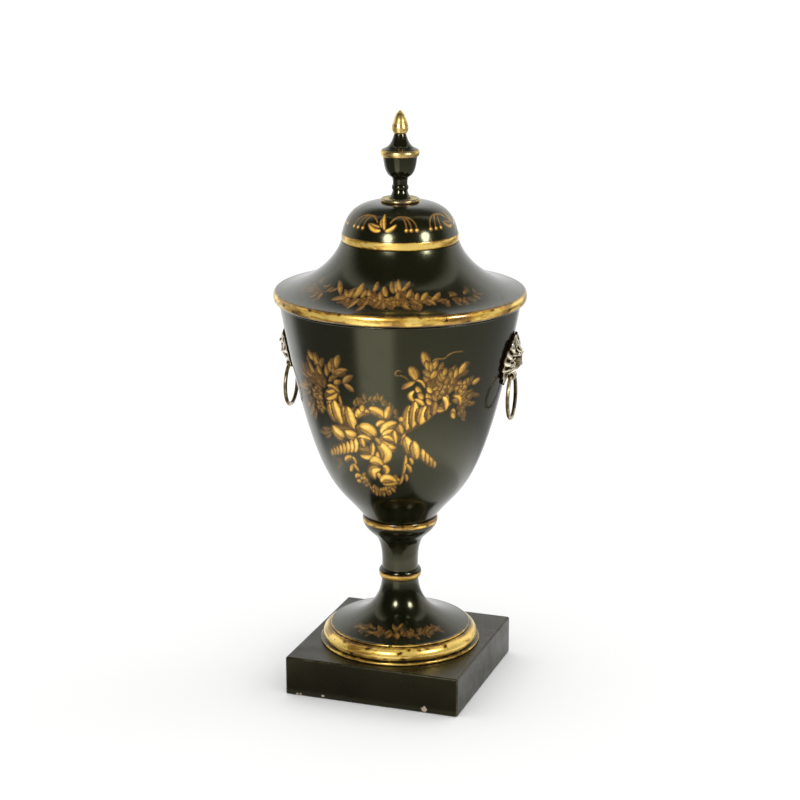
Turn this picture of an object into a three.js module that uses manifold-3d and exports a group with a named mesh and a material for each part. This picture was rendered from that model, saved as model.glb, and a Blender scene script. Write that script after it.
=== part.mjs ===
// A japanned metal urn with a lift-off lid, on a square plinth, with a loose ring in each lion's mouth.
// Millimetres, +Z up. The origin is the middle of the plinth's underside, the painted front faces -Y
// and the two handles lie on the X axis.
import * as THREE from 'three';
import { mergeVertices } from 'three/addons/utils/BufferGeometryUtils.js';
import Module from 'manifold-3d';

const wasm = await Module();
wasm.setup();

// Plinth: a square block, on which the urn stands turned a few degrees
const PLINTH_SIDE = 103;
const PLINTH_HEIGHT = 22.6;
const PLINTH_EDGE = 1.6;
const PLINTH_TURN = THREE.MathUtils.degToRad(-5.7);

// Turned profiles are [radius, height] pairs, and a bead is a half-round swelling on a given radius
const FOOT_LOWER_BEAD = { radius: 45.3, low: PLINTH_HEIGHT, high: 24.3, swell: 0.8 };
const FOOT_ROLL = [[43.9, 24.7], [45.2, 26], [44.8, 30.2], [40.6, 31.6]];
const FOOT_UPPER_BEAD = { radius: 39.5, low: 31.6, high: 32.9, swell: 0.7 };
const TRUMPET = [[39.3, 32.9], [24, 37.3], [11.2, 42], [10.5, 60.4]];
const KNOP = { radius: 10.6, low: 60.4, high: 66, swell: 1.7 };
const STEM = [[10.4, 66], [10.2, 74], [10.5, 82], [14.6, 86.2]];
const CUP = [[14.6, 86.2], [18.2, 89.4], [21.5, 92.2], [21.6, 96.2]];
const CUP_LIP = 0.8;
const FOOT_TOP = 98;

// Bowl: a thin wall from the cup up to a rolled lip
const BODY_CURVE = [[20.6, FOOT_TOP], [35, 118.8], [47.5, 110], [67.5, 222.8]];
const BODY_WALL = 1.2;
const BODY_LIP = { radius: 67.5, low: 222.8, high: 224.2, swell: 0.9 };

// Lid: a collar inside the mouth, a rolled rim, a spreading flange, a raised band and a dome
const LID_WALL = 1.2;
const LID_COLLAR = { radius: 64.9, depth: 5.8 };
const LID_RIM = { radius: 69.1, low: BODY_LIP.high, high: 230.6, swell: 1.85 };
const LID_FLANGE = [[68, 230.8], [52, 233.7], [37.6, 244.5], [32.8, 257.8]];
const LID_BAND = { radius: 32.2, low: 258, high: 262.7, swell: 0.45 };
const LID_TOP = 279.6;
const LID_DOME = [[32.2, 262.7], [30.5, 270], [27, LID_TOP], [10, LID_TOP]];

// Finial: a base ring with a dished top, a beaded neck, a cup, a big bead, a spire and a pointed bud
const FINIAL_RING = { radius: 10.1, low: LID_TOP, high: 281.6, swell: 0.65 };
const FINIAL_DISH = [[9.2, 281.5], [7.4, 281]];
const FINIAL_FLARE = [[6.7, 281.2], [5.6, 282.2], [4.6, 283.6], [4.2, 285.6]];
const FINIAL_NECK_BEAD = { radius: 4.1, low: 286.2, high: 289, swell: 0.55 };
const FINIAL_NECK = [[4.05, 289.4], [4, 291.8], [4.3, 293], [5.4, 293.6]];
const FINIAL_CUP = [[5.4, 293.6], [8.2, 295.4], [8.8, 299], [9.5, 304.4]];
const FINIAL_BEAD = { radius: 9.5, low: 304.6, high: 308.8, swell: 1.2 };
const FINIAL_SPIRE = [[9.2, 309], [5.6, 310.2], [4.4, 313.2], [3.4, 316.8]];
const FINIAL_BUD = [[3.3, 317.2], [4.7, 318], [5, 320.8], [3.8, 323.8]];
const FINIAL_TIP = [[3.8, 323.8], [3.1, 326.2], [2, 329.2], [0, 330]];

// Rings: round wire, hanging plumb from the lions' mouths
const RING_RADIUS = 12.3;
const RING_WIRE = 1.1;
const RING_REACH = 64;
const RING_PIVOT_HEIGHT = 184.4;

// Lion masks: an oval face with a mane of locks, laid on the slope of the bowl's wall
const MASK_HEIGHT = 194;
const MASK_HALF_WIDTH = 13.6;
const MASK_UP = 14.7;
const MASK_DOWN = 15.3;
const MASK_TAPER = 0.18;
const MASK_LOCKS = 15;
const MASK_LOCK_NOTCH = 0.05;
const MASK_LOCK_RELIEF = 0.55;
const MASK_BACK_GAP = 0.3;
const MASK_RIM = 1;
const MASK_MANE = 1.7;
const MASK_SLOPE_SHARE = 0.3;
const MASK_LOCK_START = 0.45;
const MASK_LOCK_FULL = 0.8;
const JAW_RADIUS = 2.6;
const JAW_LENGTH = 6;
const JAW_CLEARANCE = 0.3;
const BORE_HALF_LENGTH = 0.6 * JAW_LENGTH;

// Swellings of the lion's face: place across and up, spread across and up, height; a pair is mirrored
const FACE_SWELLINGS = [
  { across: 0, up: 1, wide: 7.5, tall: 8, height: 3.4, pair: false },
  { across: 3.2, up: 5.2, wide: 2.6, tall: 1.7, height: 2.3, pair: true },
  { across: 0, up: 2.6, wide: 1.7, tall: 4.2, height: 1.3, pair: false },
  { across: 0, up: -1.9, wide: 2.3, tall: 2.2, height: 2.1, pair: false },
  { across: 2.7, up: -4.2, wide: 2.4, tall: 2, height: 1.6, pair: true },
  { across: 4.5, up: 2.1, wide: 1.7, tall: 1.4, height: -1.9, pair: true },
  { across: 6.4, up: -1.4, wide: 2, tall: 2.2, height: 1.1, pair: true },
  { across: 8.3, up: 9.2, wide: 1.8, tall: 1.8, height: 1.5, pair: true },
];

// Under the face the relief stays low, to leave the ring room to swing
const RING_ROOM = { below: -7.2, height: 2.3, fall: 0.16, rise: 3 };

// Facets
const TURN_SIDES = 32;
const FINIAL_SIDES = 16;
const SWEEP_STEPS = 4;
const BEAD_STEPS = 3;
const LIP_STEPS = 2;
const BODY_STEPS = 11;
const RING_SIDES = 24;
const WIRE_SIDES = 8;
const MASK_SECTORS = 2 * MASK_LOCKS;
const MASK_RINGS = 6;
const MASK_BACK_RINGS = 2;
const JAW_SIDES = 12;
const BORE_STEPS = 3;
const PLINTH_EDGE_STEPS = 2;
const WALL_HALVINGS = 40;
const JOIN_DISTANCE = 1e-4;

const JAPAN = { color: 0x1c1b14, roughness: 0.28, metalness: 0 };
const BRASS = { color: 0xb8a878, roughness: 0.35, metalness: 0.9 };
const GILT = { color: 0xb88432, roughness: 0.4, metalness: 0.6 };

const point = ([radius, height]) => new THREE.Vector2(radius, height);

// Cubic curve through a turned profile.
function sweep(corners, steps = SWEEP_STEPS) {
  return new THREE.CubicBezierCurve(...corners.map(point)).getPoints(steps);
}

// Half-round bead, from its lower edge to its upper edge.
function bead({ radius, low, high, swell }) {
  const middle = (low + high) / 2;
  const half = (high - low) / 2;
  return new THREE.EllipseCurve(radius, middle, swell, half, -Math.PI / 2, Math.PI / 2).getPoints(BEAD_STEPS);
}

// The same curve moved inwards by a wall's thickness.
function inset(curve, wall) {
  return curve.map((here, i) => {
    const before = curve[Math.max(i - 1, 0)];
    const after = curve[Math.min(i + 1, curve.length - 1)];
    const along = after.clone().sub(before).normalize();
    return new THREE.Vector2(here.x - along.y * wall, here.y + along.x * wall);
  });
}

// Keeps positions only, joins shared vertices and drops the empty triangles on a lathe's axis.
function closed(geometry) {
  geometry.deleteAttribute('normal');
  geometry.deleteAttribute('uv');
  const joined = mergeVertices(geometry, JOIN_DISTANCE);
  const corners = joined.index.array;
  const kept = [];
  for (let i = 0; i < corners.length; i += 3) {
    const [a, b, c] = corners.slice(i, i + 3);
    if (a !== b && b !== c && c !== a) kept.push(a, b, c);
  }
  joined.setIndex(kept);
  return joined;
}

// Solid of revolution about Z from a profile that runs up the outside.
function turned(profile, sides = TURN_SIDES) {
  const distinct = profile.filter((p, i) => i === 0 || p.distanceTo(profile[i - 1]) > JOIN_DISTANCE);
  return closed(new THREE.LatheGeometry(distinct, sides)).rotateX(Math.PI / 2);
}

function toManifold(geometry) {
  return new wasm.Manifold(new wasm.Mesh({
    numProp: 3,
    vertProperties: new Float32Array(geometry.attributes.position.array),
    triVerts: new Uint32Array(geometry.index.array),
  }));
}

function fromManifold(solid) {
  const mesh = solid.getMesh();
  const geometry = new THREE.BufferGeometry();
  geometry.setAttribute('position', new THREE.BufferAttribute(new Float32Array(mesh.vertProperties), 3));
  geometry.setIndex(Array.from(mesh.triVerts));
  return geometry;
}

function plinthGeometry() {
  const half = PLINTH_SIDE / 2 - PLINTH_EDGE;
  const square = new THREE.Shape([[-half, -half], [half, -half], [half, half], [-half, half]].map(point));
  const block = new THREE.ExtrudeGeometry(square, {
    depth: PLINTH_HEIGHT - 2 * PLINTH_EDGE,
    bevelThickness: PLINTH_EDGE,
    bevelSize: PLINTH_EDGE,
    bevelSegments: PLINTH_EDGE_STEPS,
  });
  return closed(block.translate(0, 0, PLINTH_EDGE));
}

function footGeometry() {
  const [radius, height] = CUP.at(-1);
  const lip = new THREE.EllipseCurve(radius - CUP_LIP, height, CUP_LIP, FOOT_TOP - height, 0, Math.PI / 2);
  return turned([
    point([0, PLINTH_HEIGHT]),
    ...bead(FOOT_LOWER_BEAD),
    ...sweep(FOOT_ROLL),
    ...bead(FOOT_UPPER_BEAD),
    ...sweep(TRUMPET),
    ...bead(KNOP),
    ...sweep(STEM),
    ...sweep(CUP),
    ...lip.getPoints(LIP_STEPS),
    point([0, FOOT_TOP]),
  ]);
}

function bodyGeometry() {
  const outside = sweep(BODY_CURVE, BODY_STEPS);
  const inside = inset(outside, BODY_WALL).reverse();
  const floor = inside.at(-1);
  return turned([
    point([0, FOOT_TOP]),
    ...outside,
    ...bead(BODY_LIP),
    point([inside[0].x, BODY_LIP.high]),
    ...inside,
    point([0, floor.y]),
  ]);
}

function lidGeometry() {
  const flange = sweep(LID_FLANGE, SWEEP_STEPS + 1);
  const dome = sweep(LID_DOME);
  const collarInside = LID_COLLAR.radius - LID_WALL;
  const collarFoot = LID_RIM.low - LID_COLLAR.depth;
  const underFlange = inset(flange, LID_WALL).filter((p) => p.x < collarInside).reverse();
  const underDome = inset(dome, LID_WALL).reverse();
  const nearCollar = underFlange.at(-1);
  return turned([
    point([collarInside, collarFoot]),
    point([LID_COLLAR.radius, collarFoot]),
    point([LID_COLLAR.radius, LID_RIM.low]),
    ...bead(LID_RIM),
    ...flange,
    ...bead(LID_BAND),
    ...dome,
    point([0, LID_TOP]),
    point([0, LID_TOP - LID_WALL]),
    ...underDome,
    ...underFlange,
    point([collarInside, nearCollar.y]),
    point([collarInside, collarFoot]),
  ]);
}

function finialGeometry() {
  return turned([
    point([0, LID_TOP]),
    ...bead(FINIAL_RING),
    ...FINIAL_DISH.map(point),
    ...sweep(FINIAL_FLARE),
    ...bead(FINIAL_NECK_BEAD),
    ...sweep(FINIAL_NECK),
    ...sweep(FINIAL_CUP),
    ...bead(FINIAL_BEAD),
    ...sweep(FINIAL_SPIRE),
    ...sweep(FINIAL_BUD),
    ...sweep(FINIAL_TIP),
  ], FINIAL_SIDES);
}

function ringGeometry() {
  return closed(new THREE.TorusGeometry(RING_RADIUS, RING_WIRE, WIRE_SIDES, RING_SIDES)).rotateY(Math.PI / 2);
}

// Place on the bowl's outside at a height, as a radius and the wall's lean from upright.
function wallAt(height) {
  const curve = new THREE.CubicBezierCurve(...BODY_CURVE.map(point));
  let low = 0;
  let high = 1;
  for (let i = 0; i < WALL_HALVINGS; i++) {
    const middle = (low + high) / 2;
    if (curve.getPoint(middle).y < height) low = middle;
    else high = middle;
  }
  const along = curve.getTangent(low);
  return { radius: curve.getPoint(low).x, lean: Math.atan2(along.x, along.y) };
}

const MASK_LEAN = wallAt(MASK_HEIGHT).lean;
const MASK_WALL_RADIUS = wallAt(MASK_HEIGHT).radius;

// Point of the mask: across and up along the wall, then out from it.
function onWall(across, up, out) {
  const height = MASK_HEIGHT + up * Math.cos(MASK_LEAN);
  const radius = wallAt(height).radius + out * Math.cos(MASK_LEAN);
  const angle = across / MASK_WALL_RADIUS;
  return [radius * Math.cos(angle), radius * Math.sin(angle), height - out * Math.sin(MASK_LEAN)];
}

// Distance from the mask's middle to its scalloped edge in a direction.
function maskReach(angle) {
  const tall = Math.sin(angle) > 0 ? MASK_UP : MASK_DOWN;
  const wide = MASK_HALF_WIDTH * (1 - MASK_TAPER * Math.max(0, -Math.sin(angle)) ** 2);
  const scallop = 1 + MASK_LOCK_NOTCH * Math.sin(MASK_LOCKS * angle);
  return scallop / Math.hypot(Math.cos(angle) / wide, Math.sin(angle) / tall);
}

// Height of the lion's face above the wall.
function maskRelief(across, up) {
  const angle = Math.atan2(up, across);
  const share = Math.hypot(across, up) / maskReach(angle);
  const inward = Math.min(1, (1 - share) / MASK_SLOPE_SHARE);
  const mane = THREE.MathUtils.smoothstep(share, MASK_LOCK_START, MASK_LOCK_FULL);
  const lock = Math.sin(MASK_LOCKS * angle) * mane * inward;
  let height = MASK_RIM + MASK_MANE * Math.sqrt(Math.max(0, inward)) + MASK_LOCK_RELIEF * lock;
  for (const { across: place, up: level, wide, tall, height: rise, pair } of FACE_SWELLINGS) {
    for (const side of pair ? [-1, 1] : [1]) {
      height += rise * Math.exp(-(((across - side * place) / wide) ** 2) - ((up - level) / tall) ** 2);
    }
  }
  const below = up - RING_ROOM.below;
  const room = RING_ROOM.height + below * (below < 0 ? RING_ROOM.fall : RING_ROOM.rise);
  return Math.min(height, Math.max(room, MASK_RIM));
}

// Closed relief: a front that carries the face, a back that follows the wall, and the edge between.
function reliefGeometry() {
  const places = [];
  const faces = [];
  const layer = (rings, heightOf) => {
    const first = places.length / 3;
    places.push(...onWall(0, 0, heightOf(0, 0)));
    for (let ring = 1; ring <= rings; ring++) {
      for (let sector = 0; sector < MASK_SECTORS; sector++) {
        const angle = ((sector + 0.5) / MASK_SECTORS) * 2 * Math.PI;
        const reach = (maskReach(angle) * ring) / rings;
        const across = reach * Math.cos(angle);
        const up = reach * Math.sin(angle);
        places.push(...onWall(across, up, heightOf(across, up)));
      }
    }
    return (ring, sector) =>
      ring === 0 ? first : first + 1 + (ring - 1) * MASK_SECTORS + (sector % MASK_SECTORS);
  };
  const skin = (at, rings, facing) => {
    for (let ring = 0; ring < rings; ring++) {
      for (let sector = 0; sector < MASK_SECTORS; sector++) {
        const near = at(ring, sector);
        const out = at(ring + 1, sector);
        const outNext = at(ring + 1, sector + 1);
        const nearNext = at(ring, sector + 1);
        faces.push(...(facing > 0 ? [near, out, outNext] : [near, outNext, out]));
        if (ring > 0) faces.push(...(facing > 0 ? [near, outNext, nearNext] : [near, nearNext, outNext]));
      }
    }
  };
  const front = layer(MASK_RINGS, maskRelief);
  const back = layer(MASK_BACK_RINGS, () => MASK_BACK_GAP);
  skin(front, MASK_RINGS, 1);
  skin(back, MASK_BACK_RINGS, -1);
  for (let sector = 0; sector < MASK_SECTORS; sector++) {
    const here = front(MASK_RINGS, sector);
    const next = front(MASK_RINGS, sector + 1);
    const under = back(MASK_BACK_RINGS, sector);
    const underNext = back(MASK_BACK_RINGS, sector + 1);
    faces.push(here, under, underNext, here, underNext, next);
  }
  const geometry = new THREE.BufferGeometry();
  geometry.setAttribute('position', new THREE.Float32BufferAttribute(places, 3));
  geometry.setIndex(faces);
  return geometry;
}

// Hole through the jaw that the ring turns in: it widens to both sides, as the ring curves away.
function jawBore() {
  const profile = [];
  for (let step = -BORE_STEPS; step <= BORE_STEPS; step++) {
    const across = (step / BORE_STEPS) * BORE_HALF_LENGTH;
    const drop = RING_RADIUS - Math.sqrt(RING_RADIUS ** 2 - across ** 2);
    profile.push(new THREE.Vector2(RING_WIRE + JAW_CLEARANCE + drop, across));
  }
  const ends = [new THREE.Vector2(0, profile[0].y), new THREE.Vector2(0, profile.at(-1).y)];
  return closed(new THREE.LatheGeometry([ends[0], ...profile, ends[1]], JAW_SIDES));
}

function maskGeometry() {
  const atJaw = (geometry) => toManifold(geometry.translate(RING_REACH, 0, RING_PIVOT_HEIGHT));
  const jaw = closed(new THREE.CylinderGeometry(JAW_RADIUS, JAW_RADIUS, JAW_LENGTH, JAW_SIDES));
  return fromManifold(toManifold(reliefGeometry()).add(atJaw(jaw)).subtract(atJaw(jawBore())));
}

const urn = new THREE.Group();

function addPiece(name, geometry, finish) {
  const piece = new THREE.Mesh(geometry, new THREE.MeshStandardMaterial(finish));
  piece.name = name;
  urn.add(piece);
  return piece;
}

addPiece('plinth', plinthGeometry(), JAPAN).rotation.z = PLINTH_TURN;
addPiece('foot', footGeometry(), JAPAN);
addPiece('body', bodyGeometry(), JAPAN);
addPiece('lid', lidGeometry(), JAPAN);
addPiece('finial', finialGeometry(), GILT);

for (const [side, turn] of [['right', 0], ['left', Math.PI]]) {
  addPiece(`lion_mask_${side}`, maskGeometry(), BRASS).rotation.z = turn;
  const ring = addPiece(`ring_${side}`, ringGeometry(), BRASS);
  ring.position.set(RING_REACH * Math.cos(turn), 0, RING_PIVOT_HEIGHT - RING_RADIUS);
}

export default urn;
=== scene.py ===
"""Looks of a japanned covered urn: fine turned pieces, lion masks, loose rings and gold painting.

Sizes are in millimetres until a mesh is made. Turned profiles are [radius, height] pairs. Angles around the
urn are in degrees from the painted front, which faces -Y, towards the right-hand mask on +X.
"""
import math

import bpy
import numpy as np
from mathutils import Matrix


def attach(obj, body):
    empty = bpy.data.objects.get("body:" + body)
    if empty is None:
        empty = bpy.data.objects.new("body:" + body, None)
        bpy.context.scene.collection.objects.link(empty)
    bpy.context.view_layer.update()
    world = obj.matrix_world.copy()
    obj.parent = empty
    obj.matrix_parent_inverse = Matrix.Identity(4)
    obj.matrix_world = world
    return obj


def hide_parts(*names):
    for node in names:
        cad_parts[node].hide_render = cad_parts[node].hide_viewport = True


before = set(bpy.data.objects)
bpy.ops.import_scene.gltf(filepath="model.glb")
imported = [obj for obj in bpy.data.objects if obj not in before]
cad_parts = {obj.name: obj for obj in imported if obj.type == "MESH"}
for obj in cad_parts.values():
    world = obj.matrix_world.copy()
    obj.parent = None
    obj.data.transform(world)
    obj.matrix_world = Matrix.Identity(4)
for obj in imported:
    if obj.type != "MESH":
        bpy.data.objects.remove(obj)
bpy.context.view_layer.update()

MM = 0.001

# Plinth
PLINTH_SIDE = 103
PLINTH_HEIGHT = 22.6
PLINTH_TURN = -5.7
PLINTH_ROUND = 1.2
PLINTH_ROUND_STEPS = 5
# Fine line inside the top's edges, and rubbed corners: how far in, and where they fade
PLINTH_LINE = 1.9
PLINTH_LINE_FADE = (0.5, 0.2)
PLINTH_TOP_FADE = (1, 0.1)
PLINTH_RUBBED_FADE = (1.1, 0.3)
CHIP_EDGE = 0.3
CHIP_RAGGED = 0.5
# Chips on the front's lower edge: place across, height and radius
PLINTH_CHIPS = [(31.9, 2.2, 1.7), (-28.7, 1.7, 0.8), (-42.1, 0.9, 0.8), (-44.4, 0.8, 0.7), (12, 0.5, 0.6)]

# Foot, from the plinth up to the cup under the bowl; a bead is (radius, low, high, swell)
FOOT_LOWER_BEAD = (45.3, PLINTH_HEIGHT, 24.3, 0.8)
FOOT_ROLL = [[43.9, 24.7], [45.2, 26], [44.8, 30.2], [40.6, 31.6]]
FOOT_UPPER_BEAD = (39.5, 31.6, 32.9, 0.7)
TRUMPET = [[39.3, 32.9], [24, 37.3], [11.2, 42], [10.5, 60.4]]
KNOP = (10.6, 60.4, 66, 1.7)
STEM = [[10.4, 66], [10.2, 74], [10.5, 82], [14.6, 86.2]]
CUP = [[14.6, 86.2], [18.2, 89.4], [21.5, 92.2], [21.6, 96.2]]
CUP_LIP = 0.8
FOOT_TOP = 98

# Bowl
BODY_CURVE = [[20.6, FOOT_TOP], [35, 118.8], [47.5, 110], [67.5, 222.8]]
BODY_LIP = (67.5, 222.8, 224.2, 0.9)
WALL = 1.2

# Lid
LID_FOOT = 218.4
LID_COLLAR = 64.9
LID_RIM = (69.1, 224.2, 230.6, 1.85)
LID_FLANGE = [[68, 230.8], [52, 233.7], [37.6, 244.5], [32.8, 257.8]]
LID_BAND = (32.2, 258, 262.7, 0.45)
LID_TOP = 279.6
LID_DOME = [[32.2, 262.7], [30.5, 270], [27, LID_TOP], [10, LID_TOP]]

# Finial
FINIAL_RING = (10.1, LID_TOP, 281.6, 0.65)
FINIAL_DISH = [[9.2, 281.5], [7.4, 281]]
FINIAL_FLARE = [[6.7, 281.2], [5.6, 282.2], [4.6, 283.6], [4.2, 285.6]]
FINIAL_NECK_BEAD = (4.1, 286.2, 289, 0.55)
FINIAL_NECK = [[4.05, 289.4], [4, 291.8], [4.3, 293], [5.4, 293.6]]
FINIAL_CUP = [[5.4, 293.6], [8.2, 295.4], [8.8, 299], [9.5, 304.4]]
FINIAL_BEAD = (9.5, 304.6, 308.8, 1.2)
FINIAL_SPIRE = [[9.2, 309], [5.6, 310.2], [4.4, 313.2], [3.4, 316.8]]
FINIAL_BUD = [[3.3, 317.2], [4.7, 318], [5, 320.8], [3.8, 323.8]]
FINIAL_TIP = [[3.8, 323.8], [3.1, 326.2], [2, 329.2], [0, 330]]

# Gilded bands of each turned piece: lower and upper height, and painted light, a brightness for the light on
# that band
FOOT_GILT = [(22.9, 24.2, 1.5), (24.9, 31.5, 1.25), (31.7, 32.8, 1.5), (60.8, 64.3, 1.2), (94.8, 97.8, 1.1)]
LID_GILT = [(224.9, 230.5, 1), (258.2, 262.5, 1.4)]
FINIAL_GILT = [(279.7, 281.5, 0.9), (304.9, 308.6, 1.1), (317.3, 332, 1.05)]
UNGILT = -9

# Bare places in the gilding: angle, height and radius
ROLL_WEAR = [
    (-35, 30.6, 0.5), (-12, 30.4, 0.6), (13, 29.4, 0.8), (16, 26, 0.7), (20, 30.8, 0.5),
    (28, 30.4, 0.5), (34, 30.8, 0.5), (50, 30.2, 0.6), (-25, 26.2, 0.4), (3, 25.8, 0.5),
]
CUP_WEAR = [(-30, 95.4, 0.5), (4, 97.4, 0.6), (17, 97.6, 0.5), (38, 97.2, 0.6), (60, 95.6, 0.4)]
RIM_WEAR = [
    (-62, 227, 1), (-50, 228, 0.7), (-41, 226.2, 0.6), (-30, 229.8, 0.5), (-14, 230, 0.5),
    (22, 230, 0.4), (44, 225.8, 0.5), (58, 229.6, 0.5), (70, 227, 0.8),
]
# A bare place is stretched sideways, and waves round its edge, by number, lean and height, make it ragged
WEAR_STRETCH = 1.7
WEAR_SHARE = 0.75
WEAR_WAVES = ((2, 1, 0.3), (5, -1, 0.25))

# Rings and the mouths that hold them
RING_RADIUS = 12.3
RING_WIRE = 1.1
RING_REACH = 64
RING_PIVOT_HEIGHT = 184.4
# Painted shade on the ring's wire: light on its crest, darker at its edges, and grime darkens its inner edge
# more
RING_SHADE_AND_GRIME = {"crest": 0.37, "edges": 0.24, "inner": 0.05}
JAW_RADIUS = 2.6
JAW_LENGTH = 6
JAW_CLEARANCE = 0.3
JAW_EDGE = 0.25
JAW_SHOULDER = 0.5
JAW_SHOULDER_POWER = 6
JAW_GRID = {"points": 21, "sides": 32}
RING_GRID = {"sides": 128, "wire": 24}

# Lion masks
MASK_HEIGHT = 194
MASK_HALF_WIDTH = 13.6
MASK_UP = 14.7
MASK_DOWN = 15.3
MASK_TAPER = 0.18
MASK_LOCKS = 15
MASK_LOCK_NOTCH = 0.05
MASK_BACK_GAP = 0.3
MASK_RIM = 1
MASK_MANE = 1.7
MASK_SLOPE = 0.3
MASK_CURL = 0.16
MASK_CURL_START = 0.4
MASK_OUTER_LOCKS = {"fade": (0.45, 0.75), "relief": 0.62}
MASK_INNER_LOCKS = {"fade": (0.42, 0.5), "end": (0.72, 0.62), "relief": 0.5}
MASK_STRANDS = {"number": 4, "relief": 0.07}
MASK_EDGE_RELIEF = 0.15
MASK_GRID = {"sectors": 240, "rings": 64}
MASK_SHARP = 50
# Hollows are what lies below the blurred relief; patina and painted shade make them dark
# Where the relief stands out the brass is paler, as a painted highlight
HOLLOW_BLURS = 24
HOLLOW_MIDDLE = 0.45
HOLLOW_GAIN = 1.9
FACE_HOLLOW = 0.4
# Under the face the relief stays low, to leave the ring room to swing
RING_ROOM = {"below": -7.2, "height": 2.3, "fall": 0.16, "rise": 3}

# The face's swellings: place across and up, spread across and up, height; the pairs are mirrored
FACE_MIDDLE = [
    (0, 1, 7.5, 8, 3.4),
    (0, 2.6, 1.7, 4.2, 1.3),
    (0, -1.9, 2.3, 2.2, 2.1),
    (0, -3.9, 0.45, 1.5, -0.8),
    (0, 6.2, 0.6, 1.8, -0.6),
]
FACE_PAIRS = [
    (3.2, 5.2, 2.6, 1.7, 2.3),
    (2.7, -4.2, 2.4, 2, 1.6),
    (4.5, 2.1, 1.7, 1.4, -1.9),
    (4.4, 2.1, 0.8, 0.75, 1.5),
    (6.4, -1.4, 2, 2.2, 1.1),
    (8.3, 9.2, 1.8, 1.8, 1.5),
    (8.3, 9.2, 0.8, 0.8, -1.1),
    (0.95, -2.7, 0.5, 0.45, -0.9),
]

# Camera: the photograph's place, worked out from the plinth's corners and the outline
CAMERA_PLACE = (272.2, -1144.7, 491.8)
CAMERA_PITCH = 15.49
CAMERA_AZIMUTH = 13.38
CAMERA_LENS = 97.0
SENSOR = 36

# Studio, in metres and degrees
FLOOR_HALF = 12
WORLD_LIGHT = 1.05
FLOOR_COLOUR = (0.985, 0.985, 0.98, 1)
SCREEN_DISTANCE = 4
TALL_SCREEN = {"azimuths": (-90, 117), "soft": 18, "elevations": (0, 20, 40, 60, 80), "shade": 0.02}
HIGH_SCREEN = {"azimuths": (100, 288), "soft": 12, "elevations": (28, 88), "fade": (28, 52), "shade": 0.1}
FLOOR_SCREEN = {
    "azimuths": (-110, 168),
    "soft": 12,
    "fade": (0.16, 0.31),
    "gap": (-29, 7),
    "gap_soft": 4,
    "shades": (0.15, 0.34),
}
SCREEN_COLUMNS = 61
HIGH_SCREEN_ROWS = 31
FLOOR_SCREEN_COLUMNS = 161
FLOOR_SCREEN_ROWS = 15
NEAR_SCREEN = {"half": 0.06, "near": 0.054, "far": 0.115, "shade": 0.15}
SCREEN_LIFT = 0.002
LAMPS = {"front lamp": -11, "right lamp": 65}
LAMP_REACH = 0.5
LAMP_HEIGHT = 0.43
LAMP_SIZE = 0.15
LAMP_POWER = 1.7
SUN = {"azimuth": 118, "elevation": 36, "power": 0.3, "spread": 35}
LIT_HEIGHT = 0.17

# Mesh fineness, and the painted stretches of each curve's length
EXACT_STEP = 0.05
WALL_STEP = 0.2
FINE_STEP = 0.5
DOME_STEP = 0.4
PLAIN_STEP = 1.4
ROLL_STEP = 0.6
CUP_STEP = 0.7
CUP_LIP_POINTS = 7
FINIAL_STEP = 0.3
FINIAL_WIDE_STEP = 0.4
FEWEST_STEPS = 6
MERGED = 1e-4
TURNED_SHARP = 35
# Of the walls' hidden insides only every fourth or third point is kept
BOWL_INSIDE_SHARE = 4
LID_INSIDE_SHARE = 3
BODY_PAINT = (22, 126)
FLANGE_PAINT = (1, 33)
DOME_PAINT = (3, 19)
TRUMPET_PAINT = (2, 22)
DOME_DEGREE = 0.52
FOOT_DEGREE = 0.6
FRIEZE_SEAM = 55
OFF_PAINT = -50
# Points round each turned piece, closer where it is painted: start, end and spacing in degrees
BOWL_AROUND = ((-62, 62, FINE_STEP), (62, 166, 3), (166, 194, 0.7), (194, 298, 3))
LID_AROUND = ((-66, 66, 0.65), (66, 294, 1.2))
FOOT_AROUND = ((-72, 72, 0.9), (72, 288, 2.5))
FINIAL_SPACING = 3.75


def sweep(corners, step):
    """Points about one step apart on a cubic curve."""
    a, b, c, d = np.array(corners, float)
    length = np.linalg.norm(b - a) + np.linalg.norm(c - b) + np.linalg.norm(d - c)
    t = np.linspace(0, 1, max(FEWEST_STEPS, round(length / step)) + 1)[:, None]
    return (1 - t) ** 3 * a + 3 * (1 - t) ** 2 * t * b + 3 * (1 - t) * t ** 2 * c + t ** 3 * d


def bead(radius, low, high, swell, steps=14):
    """Half-round bead, from its lower edge to its upper edge."""
    turn = np.linspace(-math.pi / 2, math.pi / 2, steps + 1)
    middle, half = (low + high) / 2, (high - low) / 2
    return np.column_stack((radius + swell * np.cos(turn), middle + half * np.sin(turn)))


def inset(curve, wall):
    """The same curve moved inwards by a wall's thickness."""
    along = np.gradient(curve, axis=0)
    along /= np.linalg.norm(along, axis=1)[:, None]
    return curve + wall * np.column_stack((-along[:, 1], along[:, 0]))


def thinned(curve, share):
    """Every share-th point of a curve and its last one."""
    return np.vstack((curve[:-1:share], curve[-1:]))


def arc_lengths(curve):
    return np.concatenate(([0], np.cumsum(np.linalg.norm(np.diff(curve, axis=0), axis=1))))


def spaced(corners, zone, step):
    """Points on a cubic curve: one step apart within a stretch of its length, wider apart elsewhere."""
    dense = sweep(corners, EXACT_STEP)
    along = arc_lengths(dense)
    low, high = max(zone[0], 0), min(zone[1], along[-1])
    stops = []
    for start, end, gap in ((0, low, PLAIN_STEP), (low, high, step), (high, along[-1], PLAIN_STEP)):
        stops.append(np.linspace(start, end, math.ceil((end - start) / gap), endpoint=False))
    stops = np.append(np.concatenate(stops), along[-1])
    return np.column_stack([np.interp(stops, along, dense[:, axis]) for axis in (0, 1)])


def length_at(height, curve):
    """Length along a rising curve at a height, or far off the painting where the curve doesn't reach it."""
    return np.interp(height, curve[:, 1], arc_lengths(curve), left=OFF_PAINT, right=OFF_PAINT)


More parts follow.
